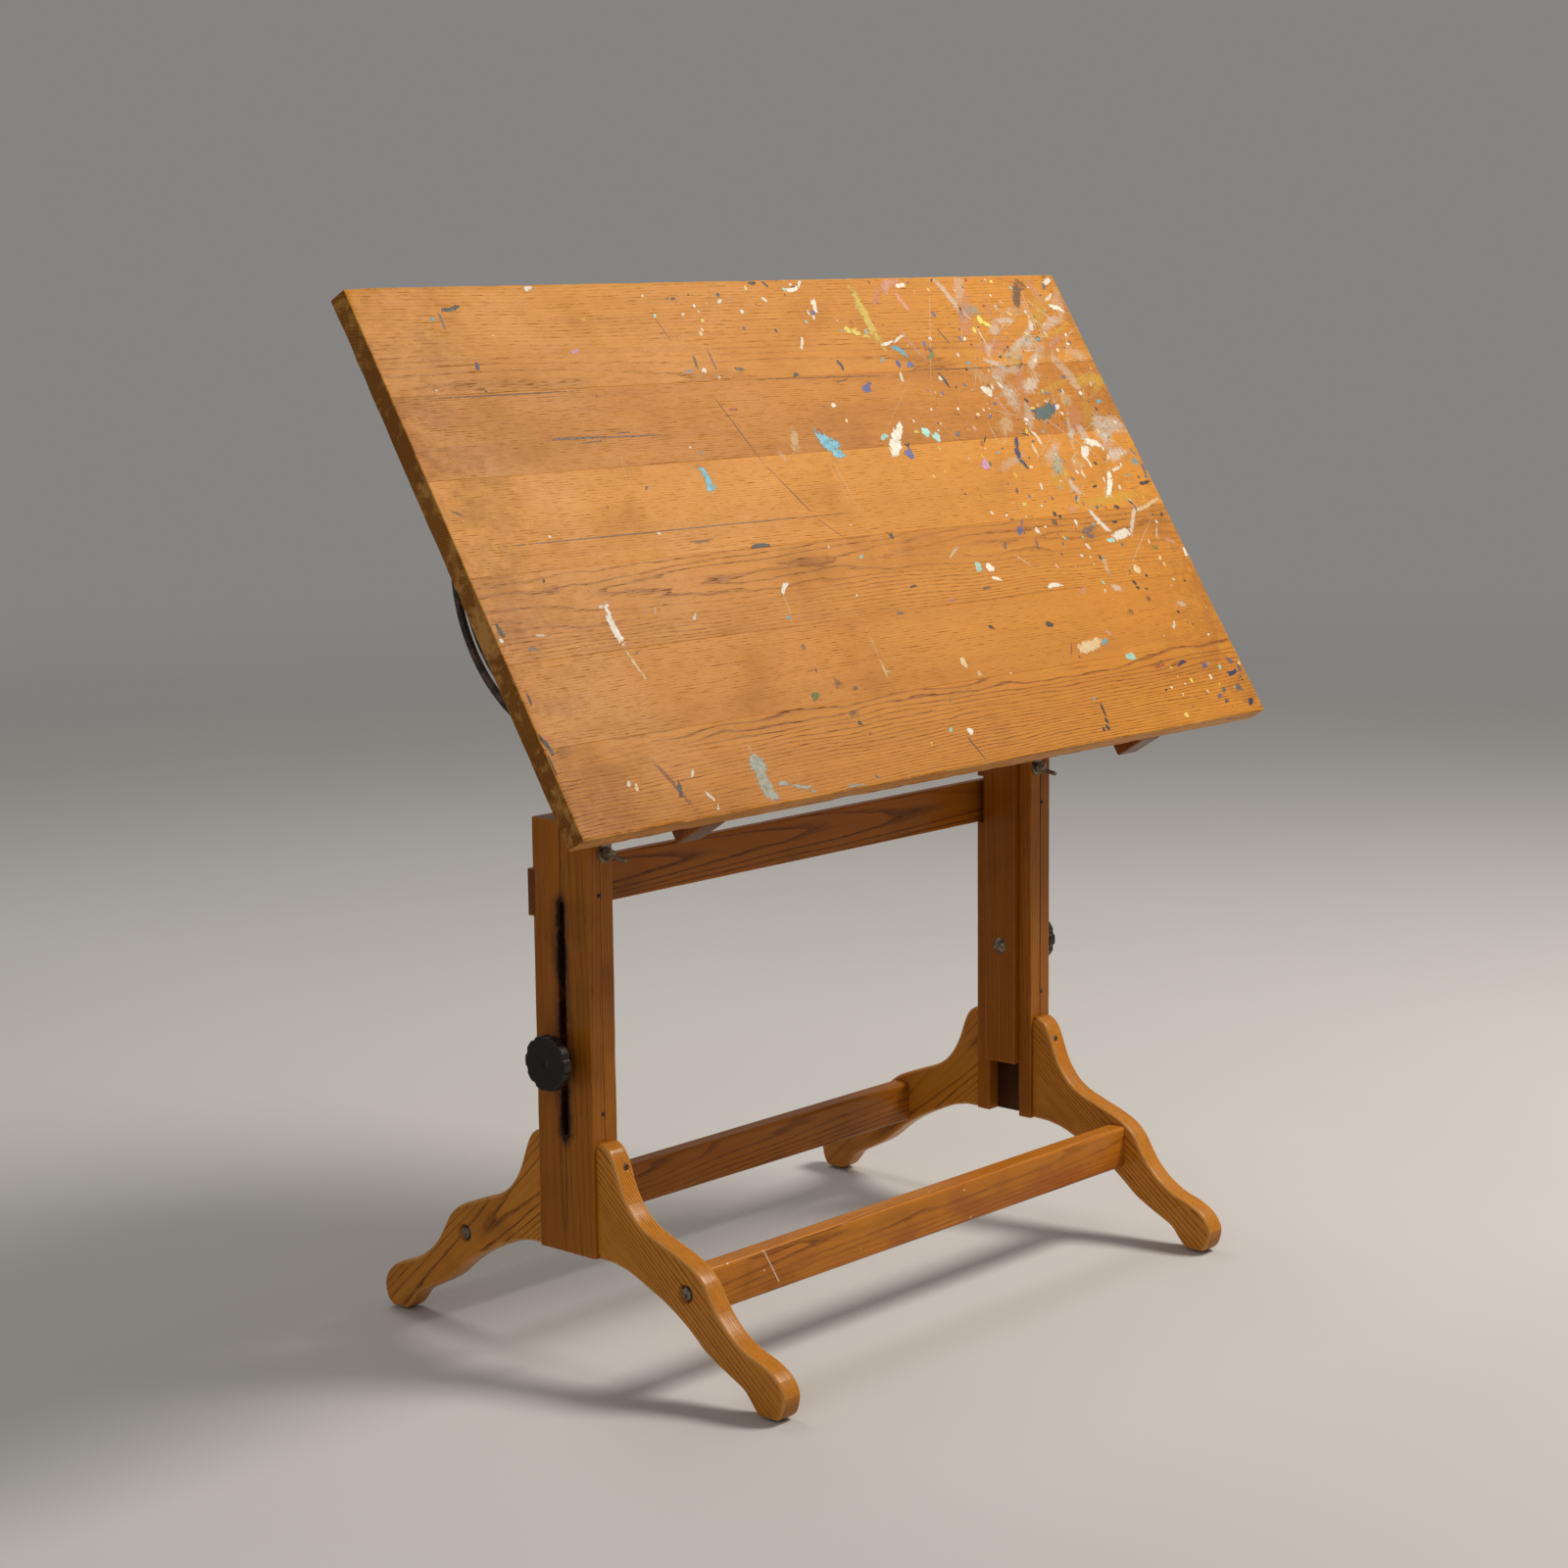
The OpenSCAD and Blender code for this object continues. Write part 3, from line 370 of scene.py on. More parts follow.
    (-316, 228, 8, 2.2, 48, "white", 0.6), (-548, 229, 9, 2, -5, "white", 0.6),
    (-566, 215, 10, 3, 0, "slate", 0.5), (-599, 240, 9, 3, 95, "black", 0.8),
    (-599, 160, 8, 2, 88, "black", 0.8), (-604, 112, 16, 3.4, -62, "black", 0.9),
    (-608, 85, 12, 2.6, 88, "black", 0.8), (-324, 28, 30, 10, 90, "mist", 0.85),
    (-322, 50, 12, 12, 0, "mist", 0.8), (-323, 68, 7, 2.6, 88, "cream", 0.4),
    (-296, 22, 10, 3, -5, "mist", 0.75), (-272, 14, 16, 2.6, -14, "mist", 0.75),
    (-256, 7, 7, 3, 0, "mist", 0.6), (-186, 3, 22, 4, -6, "mist", 0.6), (-449, 37, 10, 3, 66, "black", 1.0),
    # the umber streak at (-455, 45) is a painted shadow of the black blob at (-449, 37)
    (-455, 45, 46, 4, -64, "umber", 0.4), (-411, 23, 8, 2.2, -52, "white", 0.8),
    (-406, 9, 6, 2, 55, "white", 0.7), (-421, 51, 6, 2, 50, "white", 0.8),
    (-515, 52, 5, 3, 62, "white", 0.8), (-158, 250, 10, 3.2, 38, "white", 0.9),
    (-166, 226, 14, 1.4, 84, "cream", 0.5), (-58, 134, 14, 2.4, 90, "cream", 0.6),
    (-54, 131, 6, 1.4, 0, "cream", 0.6), (-56, 168, 30, 1.4, 88, "cream", 0.35),
    (-171, 175, 5, 4, 70, "slate", 0.6), (-168, 145, 4, 2.6, 70, "navy", 0.5),
    (-188, 115, 9, 5, 20, "green", 0.75), (-143, 127, 8, 7, 0, "umber", 0.4),
    (-118, 117, 5, 3, 0, "umber", 0.7), (-140, 88, 11, 5, 0, "umber", 0.45),
    (-137, 75, 4.4, 3.6, 0, "black", 0.7), (-128, 61, 3.6, 3, 0, "red", 0.6),
    (38, 42, 5, 5, 0, "white", 1.0), (81, 128, 8, 4.6, 78, "cream", 0.9), (100, 111, 5, 4, 0, "cream", 0.7),
    (35, 22, 19, 1.2, -68, "scratch", 0.9), (59, 297, 4, 4, 0, "black", 0.95),
    (-9, 276, 6, 2.6, 20, "aqua", 0.6), (155, 268, 17, 2, 28, "white", 0.5),
    (12, 199, 9, 3, 0, "slate", 0.5), (56, 231, 7, 1.5, 8, "black", 0.85),
    (185, 217, 8, 1.6, 0, "umber", 0.8), (111, 207, 7, 3, 5, "lilac", 0.4),
    (-166, 304, 17, 2.6, 0, "black", 1.0), (-587, 376, 10, 2, -28, "umber", 0.6),
    (-302, 387, 4, 2, 50, "umber", 0.7), (-373, 368, 3, 2, 0, "umber", 0.6),
    (-320, 333.5, 232, 0.8, 0, "scratch", 1.0), (-40, 333, 60, 0.6, 0, "scratch", 0.6),
    (-370, 454, 42, 1.7, -1, "scratch", 1.0), (-295, 452, 50, 1.0, -1, "scratch", 1.0),
    (-298, 457, 12, 0.9, 0, "scratch", 0.9), (-355, 448, 16, 0.9, 2, "scratch", 0.8),
    (-164, 588, 20, 1.0, -72, "scratch", 0.6), (-117, 455, 58, 1.1, -71, "scratch", 0.65),
    (-76, 368, 46, 1.1, -58, "scratch", 0.65), (-40, 318, 32, 0.9, -42, "scratch", 0.5),
    (-450, 512, 120, 1.0, 0, "scratch", 0.7), (60, 513, 150, 0.9, -1, "scratch", 0.5),
    (330, 515, 80, 1.0, -1, "scratch", 0.7), (100, 507, 12, 0.8, 8, "scratch", 0.8),
    (-255, 316, 22, 2.4, 2, "umber", 0.5), (22, 370, 48, 1.2, -84, "cream", 0.35),
    (12, 372, 40, 1.0, -88, "cream", 0.3), (-322, 415, 24, 1.0, 76, "cream", 0.35),
    (180, 470, 70, 1.0, 38, "cream", 0.25), (300, 560, 130, 1.0, 58, "white", 0.22),
    (250, 430, 90, 0.9, -50, "cream", 0.25), (470, 420, 110, 1.3, -40, "white", 0.3),
    (520, 250, 90, 1.1, 35, "white", 0.25), (350, 330, 80, 1.0, 20, "cream", 0.25),
]

# seeded splatter: thickest at the upper right, some at the lower right corner, a little everywhere
splatter = {
    "count": 1500, "seed": 20, "least": 0.35, "most": 3.2,
    "pots": ["white"] * 5 + ["cream"] * 3 + ["slate"] * 2 + ["black"] * 3 + ["umber"] * 2 + ["lemon"]
            + ["sky", "aqua", "pink", "blue", "red", "teal", "yellow"],
}
# hazes and thin lines dragged up to the right, all inside one patch of the board
dragged = {"hazes": 60, "lines": 90, "seed": 8, "middle": (480, 500), "spread": (80, 100), "turn": (48, 38),
           "across": (330, 600), "up": (290, 645), "pots": ["white"] * 3 + ["cream", "pink", "yellow"]}
filmDepth = {"thin": 0.00007, "thick": 0.00022, "rim": 0.00003, "under": 0.00025, "fromEdge": 0.0022}


def howThick(u, v):
    def patch(peak, middle, reach):
        return peak - ((u - middle[0]) / reach[0]) ** 2 - ((v - middle[1]) / reach[1]) ** 2

    top = 0.35 if v > 570 and u > -180 else 0.0
    return max(patch(1, (460, 450), (300, 290)), patch(0.4, (520, 80), (230, 150)), top) + 0.02


def blot(bm, layers, mark, count, rings, bend):
    # one dried drop or stroke: a shallow closed dome whose rim and underside are sunk in the wood
    across, up, length, width, turn, pot, cover = mark
    c, s = math.cos(math.radians(turn)), math.sin(math.radians(turn))
    square = 0.7 if length > 2.5 * width else 1.0
    crown = filmDepth["thin"] + (filmDepth["thick"] - filmDepth["thin"]) * min(1.0, width / 8) * cover

    def point(x, y, ring, depth):
        # millimetres to metres
        u = (across + x * c - y * s) / 1000
        v = (up + x * s + y * c) / 1000
        u = min(max(u, -boardEnd + filmDepth["fromEdge"]), boardEnd - filmDepth["fromEdge"])
        v = min(max(v, filmDepth["fromEdge"]), boardHigh - boardLow - filmDepth["fromEdge"])
        vert = bm.verts.new(acrossBoard * u + upBoard * (boardLow + v) + outOfBoard * (boardFace + depth))
        vert[layers["tint"]] = (*paintPot[pot], 1)
        vert[layers["away"]] = ring
        vert[layers["cover"]] = cover
        return vert

    rows = []
    for ring in rings:
        row = []
        for i in range(count if ring else 1):
            angle = 2 * math.pi * i / count
            p, q = math.cos(angle), math.sin(angle)
            wobble = 1 + 0.24 * noise.noise(Vector((across + p * 1.3, up + q * 1.3, length)))
            x = math.copysign(abs(p) ** square, p) * length * ring * wobble
            y = math.copysign(abs(q) ** square, q) * width * ring * wobble + bend * (x / length) ** 2
            sunk = filmDepth["rim"] * (ring == rings[-1])
            row.append(point(x, y, ring, crown * (1 - (ring / rings[-1]) ** 2) - sunk))
        rows.append(row)
    for inner, outer in zip(rows, rows[1:]):
        for i in range(count):
            j = (i + 1) % count
            if len(inner) == 1:
                bm.faces.new((inner[0], outer[i], outer[j]))
            else:
                bm.faces.new((inner[i], outer[i], outer[j], inner[j]))
    under = point(0, 0, rings[-1], -filmDepth["under"])
    for i in range(count):
        bm.faces.new((rows[-1][(i + 1) % count], rows[-1][i], under))


def filmMaterial():
    paint = Paint("oldPaintAndShadowStreak")
    at = paint.place()
    smudge = paint.noise(at, 170, 3, 0.7) - 0.5
    crumb = paint.noise(at, 620, 2, 0.6) - 0.5
    cover = paint.attribute("cover")
    away = paint.attribute("away") + smudge * 1.5 + crumb * 0.8
    soft = paint.ease(cover, 0.55, 0.85, 0.62, 0.12)
    mask = paint.ease((away - 0.98) / soft + 1, 0.0, 1.0, 1, 0) * cover
    rubbed = paint.ease(crumb + smudge * 0.8, 0.10, 0.30)
    tint = paint.add("ShaderNodeAttribute", {"attribute_name": "tint"}, {}, "Color")
    colour = paint.mix(paint.ease(smudge, -0.2, 0.2), tint, (0.40, 0.30, 0.20), "SOFT_LIGHT")
    colour = paint.mix(rubbed * 0.25, colour, (0.30, 0.18, 0.08))
    alpha = mask * (rubbed * -0.45 + 1)
    normal = paint.bump(mask * 2 + crumb, 0.5, 0.0003)
    rough = smudge * 0.4 + 0.5
    return paint.finish(colour, rough, normal, fixed={"Specular IOR Level": 0.35}, alpha=alpha)


def paintFilm():
    bm = bmesh.new()
    kinds = bm.verts.layers
    layers = {"tint": kinds.float_color.new("tint"), "away": kinds.float.new("away"),
              "cover": kinds.float.new("cover")}
    rings = (0, 0.4, 0.75, 1.0, 1.3)
    luck = random.Random(dragged["seed"])
    for number in range(dragged["hazes"] + dragged["lines"]):
        thin = number >= dragged["hazes"]
        u, v = (luck.gauss(*pair) for pair in zip(dragged["middle"], dragged["spread"]))
        half = luck.uniform(0.5, 1.1) if thin else luck.uniform(5, 17)
        long = luck.uniform(10, 45) if thin else luck.uniform(14, 48)
        cover = luck.uniform(0.38, 0.56) if thin else luck.uniform(0.18, 0.44)
        streak = (u, v, long, half, luck.gauss(*dragged["turn"]), luck.choice(dragged["pots"]), cover)
        bend = luck.uniform(-6, 6)
        if dragged["across"][0] < u < dragged["across"][1] and dragged["up"][0] < v < dragged["up"][1]:
            blot(bm, layers, streak, 16, rings, bend)
    for mark in paintMarks:
        big = mark[2] > 6
        bend = luck.uniform(-0.9, 0.9) * mark[3] if mark[5] != "scratch" else 0
        blot(bm, layers, mark, 20 if big else 12, rings, bend)
    luck = random.Random(splatter["seed"])
    dots = 0
    while dots < splatter["count"]:
        u, v = luck.uniform(-604, 604), luck.uniform(5, 643)
        if luck.random() > howThick(u, v):
            continue
        size = splatter["least"] + (splatter["most"] - splatter["least"]) * luck.random() ** 4.5
        dot = (u, v, size * luck.uniform(1, 2.0), size, luck.uniform(0, 180), luck.choice(splatter["pots"]),
               luck.uniform(0.7, 1.0))
        blot(bm, layers, dot, 7 if size < 1.2 else 10, (0, 1.3) if size < 1.2 else (0, 0.8, 1.3), 0)
        dots += 1
    mesh = bpy.data.meshes.new("oldPaintAndShadowStreak")
    bm.to_mesh(mesh)
    bm.free()
    mesh.shade_smooth()
    film = bpy.data.objects.new("oldPaintAndShadowStreak", mesh)
    bpy.context.scene.collection.objects.link(film)
    mesh.materials.append(filmMaterial())
    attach(film, "board")
    print("paint marks and splatter:", len(paintMarks), dots, "faces:", len(mesh.polygons))


def knifeMarks(paint, wood):
    # dirt where hands rest, then fine knife and compass scratches on the face, pale and short
    flat = paint.join(wood["x"], paint.dot(wood["at"], upBoard) - boardLow)
    front = paint.ease(paint.dot(wood["at"], outOfBoard), boardFace - 0.004, boardFace - 0.0025)
    cloud = paint.noise(paint.stretch(flat, (13, 16, 0), (3.1, 4.2, 0)), 1, 3, 0.6)
    handled = paint.greater(paint.ease(wood["x"], -0.60, -0.40, 1, 0), paint.ease(wood["x"], 0.45, 0.60))
    dirt = paint.ease(wood["spots"] * 0.3 + cloud * 0.4 + wood["ragged"] * 0.4, 0.46, 0.64)
    dirt = dirt * (handled * 0.3 + 0.06) * front
    wood["colour"] = paint.mix(dirt, wood["colour"], (0.20, 0.062, 0.008))
    for turn, shift in ((0.5, 2.0), (-0.9, 5.0), (1.35, 9.0)):
        c, s = math.cos(turn), math.sin(turn)
        long = paint.dot(flat, (c, s, 0)) * 16 + shift
        line = paint.noise(paint.join(long, paint.dot(flat, (-s, c, 0)) * 900), 1, 1)
        scratch = paint.ease(line, 0.725, 0.76) * paint.ease(cloud, 0.40, 0.60, 0.15, 1.0) * front
        wood["colour"] = paint.mix(scratch * 0.4, wood["colour"], (0.72, 0.44, 0.20))
        wood["height"] = wood["height"] - scratch * 0.8


# metal, iron, moulded black and the rest

def metalMaterial(name, pale, dark, rough, metal=1.0, stain=None):
    paint = Paint(name)
    at = paint.place()
    blotch = paint.noise(at, 140, 4, 0.65)
    fine = paint.noise(at, 900, 3, 0.6)
    brushed = paint.noise(paint.stretch(at, (300, 2400, 300)), 1, 2)
    dull = paint.ease(blotch, 0.38, 0.66)
    colour = paint.mix(dull, pale, dark)
    colour = paint.mix(paint.ease(fine, 0.58, 0.72) * 0.5, colour, stain or dark)
    roughness = dull * 0.22 + (fine - 0.5) * 0.2 + (brushed - 0.5) * 0.1 + rough
    height = fine * 0.5 + blotch * 0.8 + brushed * 0.2
    shine = paint.ease(blotch, 0.45, 0.75, metal, metal * 0.7)
    return paint.finish(colour, roughness, paint.bump(height, 0.25, 0.0003), shine)


def ironMaterial(name):
    # cast iron under old black paint
    paint = Paint(name)
    at = paint.place()
    sand = paint.noise(at, 650, 3, 0.65)
    lump = paint.noise(at, 70, 3)
    gap = paint.attribute("rimGap") + (sand - 0.5) * 0.003
    chip = paint.ease(gap, 0.0002, 0.0012, 1, 0) * paint.ease(lump, 0.45, 0.62)
    colour = paint.mix(paint.ease(lump, 0.35, 0.7), (0.012, 0.011, 0.011), (0.030, 0.026, 0.023))
    colour = paint.mix(chip * 0.7, colour, (0.16, 0.10, 0.07))
    height = sand * 0.8 + lump * 1.2 - chip * 0.6
    return paint.finish(colour, (lump - 0.5) * 0.2 + chip * 0.1 + 0.52, paint.bump(height, 0.4, 0.0005), 0.15)


def knobMaterial(name):
    # black moulded knob, rubbed on its lobes, with brown showing through
    paint = Paint(name)
    at = paint.place()
    rubbed = paint.noise(at, 60, 3, 0.6)
    fine = paint.noise(at, 1100, 2)
    swirl = paint.noise(paint.stretch(at, (90, 320, 90)), 1, 3)
    gap = paint.attribute("rimGap") + (rubbed - 0.5) * 0.004
    edge = paint.ease(gap, 0.0, 0.0022, 1, 0)
    colour = paint.mix(paint.ease(swirl, 0.5, 0.75) * 0.6, (0.008, 0.0065, 0.006), (0.024, 0.014, 0.010))
    colour = paint.mix(edge * 0.55, colour, (0.055, 0.036, 0.026))
    dust = paint.ease(fine, 0.62, 0.75)
    colour = paint.mix(dust * 0.25, colour, (0.09, 0.08, 0.07))
    rough = edge * 0.14 + (rubbed - 0.5) * 0.22 + dust * 0.2 + 0.3
    normal = paint.bump(fine * 0.5 + rubbed * 0.8, 0.2, 0.0003)
    return paint.finish(colour, rough, normal, fixed={"Specular IOR Level": 0.3})


# shapes: a softened copy of a node, with worn edges

softening = {
    "weld": 0.00001, "flat": math.radians(0.6), "sharp": math.radians(48), "onPlane": 0.00002,
    "rimStep": 0.0015, "nickReach": 0.005, "dents": 55, "dentsFrom": 0.12, "bites": 16, "bitesFrom": 0.38,
    "bite": 3.2, "farthest": 0.03,
}


def joinFlatFaces(bm):
    bmesh.ops.remove_doubles(bm, verts=bm.verts, dist=softening["weld"])
    bmesh.ops.dissolve_limit(bm, angle_limit=softening["flat"], verts=bm.verts, edges=bm.edges)


def softened(node, rounds, cuts=(), nick=0.0, segments=3, smooth=38, seed=1.0):
    bm = bmesh.new()
    bm.from_mesh(nodes[node].data)
    joinFlatFaces(bm)
    rimPoints = []
    for radius, chosen, counts in rounds:
        edges = []
        for edge in bm.edges:
            if len(edge.link_faces) != 2 or not edge.is_convex:
                continue
            if edge.calc_face_angle(0) < softening["sharp"]:
                continue
            a, b = (v.co for v in edge.verts)
            if chosen(a, b):
                edges.append(edge)
                if counts:
                    count = max(1, int((b - a).length / softening["rimStep"]))
                    rimPoints += [a.lerp(b, i / count) for i in range(count + 1)]
        if edges:
            bmesh.ops.bevel(bm, geom=edges, offset=radius, offset_type="OFFSET", segments=segments,
                            profile=0.5, affect="EDGES", clamp_overlap=True)
    for axis, places in cuts:
        for spot in places:
            every = bm.verts[:] + bm.edges[:] + bm.faces[:]
            bmesh.ops.bisect_plane(bm, geom=every, dist=softening["onPlane"], plane_co=axis * spot,
                                   plane_no=axis)
    rim = KDTree(max(1, len(rimPoints)))
    for i, point in enumerate(rimPoints or [Vector((9, 9, 9))]):
        rim.insert(point, i)
    rim.balance()
    bm.normal_update()
    if nick:
        for v in bm.verts:
            gap = rim.find(v.co)[2]
            if gap < softening["nickReach"]:
                dent = noise.noise(v.co * softening["dents"] + Vector((seed * 3, 0, 0)))
                bite = noise.noise(v.co * softening["bites"] + Vector((0, seed * 5, 0)))
                depth = max(0.0, dent - softening["dentsFrom"])
                depth += softening["bite"] * max(0.0, bite - softening["bitesFrom"])
                v.co -= v.normal * nick * depth * (1 - gap / softening["nickReach"])
    gaps = [min(softening["farthest"], rim.find(v.co)[2]) for v in bm.verts]
    mesh = bpy.data.meshes.new(node + "_worked")
    bm.to_mesh(mesh)
    bm.free()
    layer = mesh.attributes.new("rimGap", "FLOAT", "POINT")
    layer.data.foreach_set("value", gaps)
    return seatPiece(node, mesh, smooth)


def seatPiece(node, mesh, smooth):
    piece = bpy.data.objects.new(node + ".made", mesh)
    bpy.context.scene.collection.objects.link(piece)
    mesh.shade_smooth()
    mesh.set_sharp_from_angle(angle=math.radians(smooth))
    even = piece.modifiers.new("evenNormals", "WEIGHTED_NORMAL")
    even.keep_sharp = True
    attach(piece, bodyOf[node])
    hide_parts(node)
    return piece


def steps(low, high, size):
    count = max(1, round((high - low) / size))
    return [low + (high - low) * i / count for i in range(1, count)]


def wear(piece, material):
    piece.data.materials.clear()
    piece.data.materials.append(material)


# drawing board

boardPiece = {
    "round": 0.0018, "seam": 0.00035, "cut": 0.010, "cutUp": 0.02, "rimCuts": (0.005, 0.012), "nick": 0.0021,
    "look": {"rough": 0.45, "bare": (0.66, 0.34, 0.09), "rub": 0.6, "rubWidth": 0.0020, "grime": 0.25,
             "bump": 0.4},
    "tones": [
        {"ring": 0.0034, "pithSide": 0.060, "pithDepth": 0.050, "lean": 0.005, "sway": 0.022, "wave": 0.0085,
         "grain": 0.95, "pale": (0.60, 0.235, 0.023), "mid": (0.50, 0.182, 0.016)},
        {"ring": 0.0030, "pithSide": 0.15, "pithDepth": 0.050, "lean": 0.003, "sway": 0.010, "grain": 0.34,
         "pale": (0.61, 0.240, 0.024), "mid": (0.52, 0.194, 0.018)},
        {"ring": 0.0031, "pithSide": 0.02, "pithDepth": 0.052, "lean": -0.008, "sway": 0.018, "wave": 0.0070,
         "grain": 0.72, "pale": (0.63, 0.252, 0.025), "mid": (0.52, 0.196, 0.018)},
        {"ring": 0.0030, "pithSide": -0.16, "pithDepth": 0.060, "lean": 0.004, "sway": 0.010, "grain": 0.32,
         "pale": (0.68, 0.280, 0.029), "mid": (0.58, 0.226, 0.021)},
        {"ring": 0.0028, "pithSide": 0.16, "pithDepth": 0.050, "lean": 0.004, "sway": 0.012, "grain": 0.44,
         "pale": (0.58, 0.226, 0.024), "mid": (0.46, 0.166, 0.016)},
        {"ring": 0.0036, "pithSide": -0.06, "pithDepth": 0.060, "lean": 0.006, "sway": 0.016, "grain": 0.40,
         "pale": (0.65, 0.266, 0.027), "mid": (0.54, 0.208, 0.019)},
    ],
}


def boardRim(a, b):
    mid = (a + b) / 2
    ends = abs(mid.x) > boardEnd - slack["board"]
    along = min(mid.dot(upBoard) - boardLow, boardHigh - mid.dot(upBoard)) < slack["board"]
    face = min(mid.dot(outOfBoard) - boardBack, boardFace - mid.dot(outOfBoard)) < slack["board"]
    if abs((b - a).normalized().dot(outOfBoard)) > 0.9:
        return ends and along
    return face and (ends or along)


for number, name in enumerate(plankNames):
    low, high = plankSpans[name]
    middle = upBoard * ((low + high) / 2) + outOfBoard * boardFace

    def seam(a, b, low=low, high=high):
        mid = (a + b) / 2
        atSeam = min(mid.dot(upBoard) - low, high - mid.dot(upBoard)) < slack["board"]
        atFace = boardFace - mid.dot(outOfBoard) < slack["board"]
        return atSeam and atFace and abs((b - a).normalized().x) > 0.9

    near, far = boardPiece["rimCuts"]
    rims = (boardLow + near, boardLow + far, boardHigh - near, boardHigh - far)
    inner = [rim for rim in rims if low < rim < high]
    ends = [boardEnd - near, -boardEnd + near]
    cuts = [(acrossBoard, steps(-boardEnd, boardEnd, boardPiece["cut"]) + ends),
            (upBoard, inner + steps(low, high, boardPiece["cutUp"]))]
    rounds = [(boardPiece["round"], boardRim, True), (boardPiece["seam"], seam, False)]
    piece = softened(name, rounds, cuts, boardPiece["nick"], seed=number + 1.0)
    look = {**boardPiece["look"], **boardPiece["tones"][number], "seed": number + 1.3}
    wear(piece, oakMaterial("boardOak" + str(number + 1), look, acrossBoard, upBoard, middle, knifeMarks))
paintFilm()
print("board made")


# straight timber: battens, uprights, posts, rail, stretchers

def boxMiddle(node):
    low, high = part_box(node)
    return (low + high) / 2


def onBox(node):
    low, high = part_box(node)

    def test(a, b):
        mid = (a + b) / 2
        direction = (b - a).normalized()
        hits = 0
        for axis in range(3):
            if abs(direction[axis]) < steep:
                hits += min(mid[axis] - low[axis], high[axis] - mid[axis]) < slack["box"]
        return hits >= 2
    return test


def endEdges(node):
    # the stretchers' long edges are round already, so only the edges of the two ends are eased
    low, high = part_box(node)

    def test(a, b):
        mid = (a + b) / 2
        return min(mid.x - low.x, high.x - mid.x) < slack["box"]
    return test


timber = {
    "side_board": {"round": 0.0016, "grain": zAxis, "face": yAxis},
    "stile": {"round": 0.0011, "grain": zAxis, "face": yAxis},
    "post": {"round": 0.0016, "grain": zAxis, "face": yAxis},
    "top_rail": {"round": 0.0018, "grain": xAxis, "face": zAxis},
    "stretcher": {"round": 0.0008, "grain": xAxis, "face": zAxis},
}
timberMesh = {"cut": 0.016, "rimCuts": (0.004, 0.010), "wide": 0.024, "nick": 0.0007}
frameTone = {"pale": (0.38, 0.128, 0.008), "mid": (0.28, 0.086, 0.005), "dark": (0.10, 0.025, 0.002),
             "bare": (0.46, 0.17, 0.025), "rough": 0.36, "coat": 0.1, "grime": 0.4}
timberTones = {
    "side_board": {"ring": 0.0046, "pithSide": 0.05, "pithDepth": 0.07, "lean": 0.02, "grain": 0.42},
    "stile": {"ring": 0.0034, "pithSide": 0.05, "pithDepth": 0.06, "lean": 0.012, "grain": 0.4},
    "post": {"ring": 0.0042, "pithSide": 0.06, "pithDepth": 0.06, "lean": 0.02, "grain": 0.4},
    "top_rail": {"ring": 0.0046, "pithSide": 0.012, "pithDepth": 0.030, "lean": 0.022, "sway": 0.034,
                 "grain": 0.85, "pale": (0.40, 0.132, 0.009), "mid": (0.31, 0.094, 0.006),
                 "dark": (0.060, 0.015, 0.002)},
    "stretcher": {"ring": 0.0034, "pithSide": 0.02, "pithDepth": 0.035, "lean": 0.014, "sway": 0.020,
                  "grain": 0.8, "pale": (0.57, 0.206, 0.018), "mid": (0.45, 0.148, 0.011), "coat": 0.12,
                  "rough": 0.32, "rubWidth": 0.004, "bare": (0.66, 0.32, 0.09)},
}


def slotStainAndInnerShade(node):
    # dark burnished stain round the bolt's slot, with a crack above and below it, and painted shade on the
    # inner face behind the post
    low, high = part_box(node)
    slotLow, slotHigh = slotEnds(node)
    innerFace = min(abs(low.x), abs(high.x))

    def stain(paint, wood):
        at = wood["at"]
        y = paint.dot(at, yAxis)
        z = paint.dot(at, zAxis)
        ragged = (wood["ragged"] - 0.5) * 0.012 + (wood["spots"] - 0.5) * 0.014
        past = paint.greater(paint.greater(z - slotHigh, slotLow - z), 0.0)
        away = paint.size(y) + past * 0.8 + ragged
        soot = paint.ease(away, 0.0058, 0.0092, 1, 0)
        brown = paint.ease(away, 0.007, 0.019, 0.6, 0)
        colour = paint.mix(brown, wood["colour"], (0.075, 0.020, 0.004))
        colour = paint.mix(soot * 0.9, colour, (0.012, 0.005, 0.003))
        split = paint.size(y + (paint.noise(paint.stretch(at, (0, 0, 22)), 1, 2) - 0.5) * 0.004)
        crack = paint.ease(split, 0.0003, 0.0011, 1, 0) * paint.ease(past, 0.0, 0.002)
        crack = crack * paint.ease(past, 0.09, 0.12, 1, 0)
        colour = paint.mix(crack * 0.8, colour, (0.02, 0.008, 0.004))
        # painted shade: the inner face, behind the post, is darkened for the shade in the recess there
        side = paint.size(paint.dot(at, xAxis))
        inner = paint.ease(side, innerFace + 0.0004, innerFace + 0.0016, 1, 0)
        wood["colour"] = paint.mix(inner * (wood["spots"] * 0.5 + 0.6), colour, (0.030, 0.009, 0.003))
        wood["height"] = wood["height"] - crack * 3 - soot * 0.4
        wood["rough"] = wood["rough"] + soot * 0.15
    return stain


def slotEnds(node):
    # the slot's two ends, from the points of the board's own mesh that lie near its middle line
    low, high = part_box(node)
    inside = [v.co.z for v in nodes[node].data.vertices
              if abs(v.co.y) < 0.0065 and low.z + 0.01 < v.co.z < high.z - 0.01]
    return min(inside), max(inside)


def nailHeights():
    groups = []
    for z in sorted(v.co.z for v in nodes["edge_nails"].data.vertices):
        if groups and z - groups[-1][-1] < 0.02:
            groups[-1].append(z)
        else:
            groups.append([z])
    return [(group[0] + group[-1]) / 2 for group in groups]


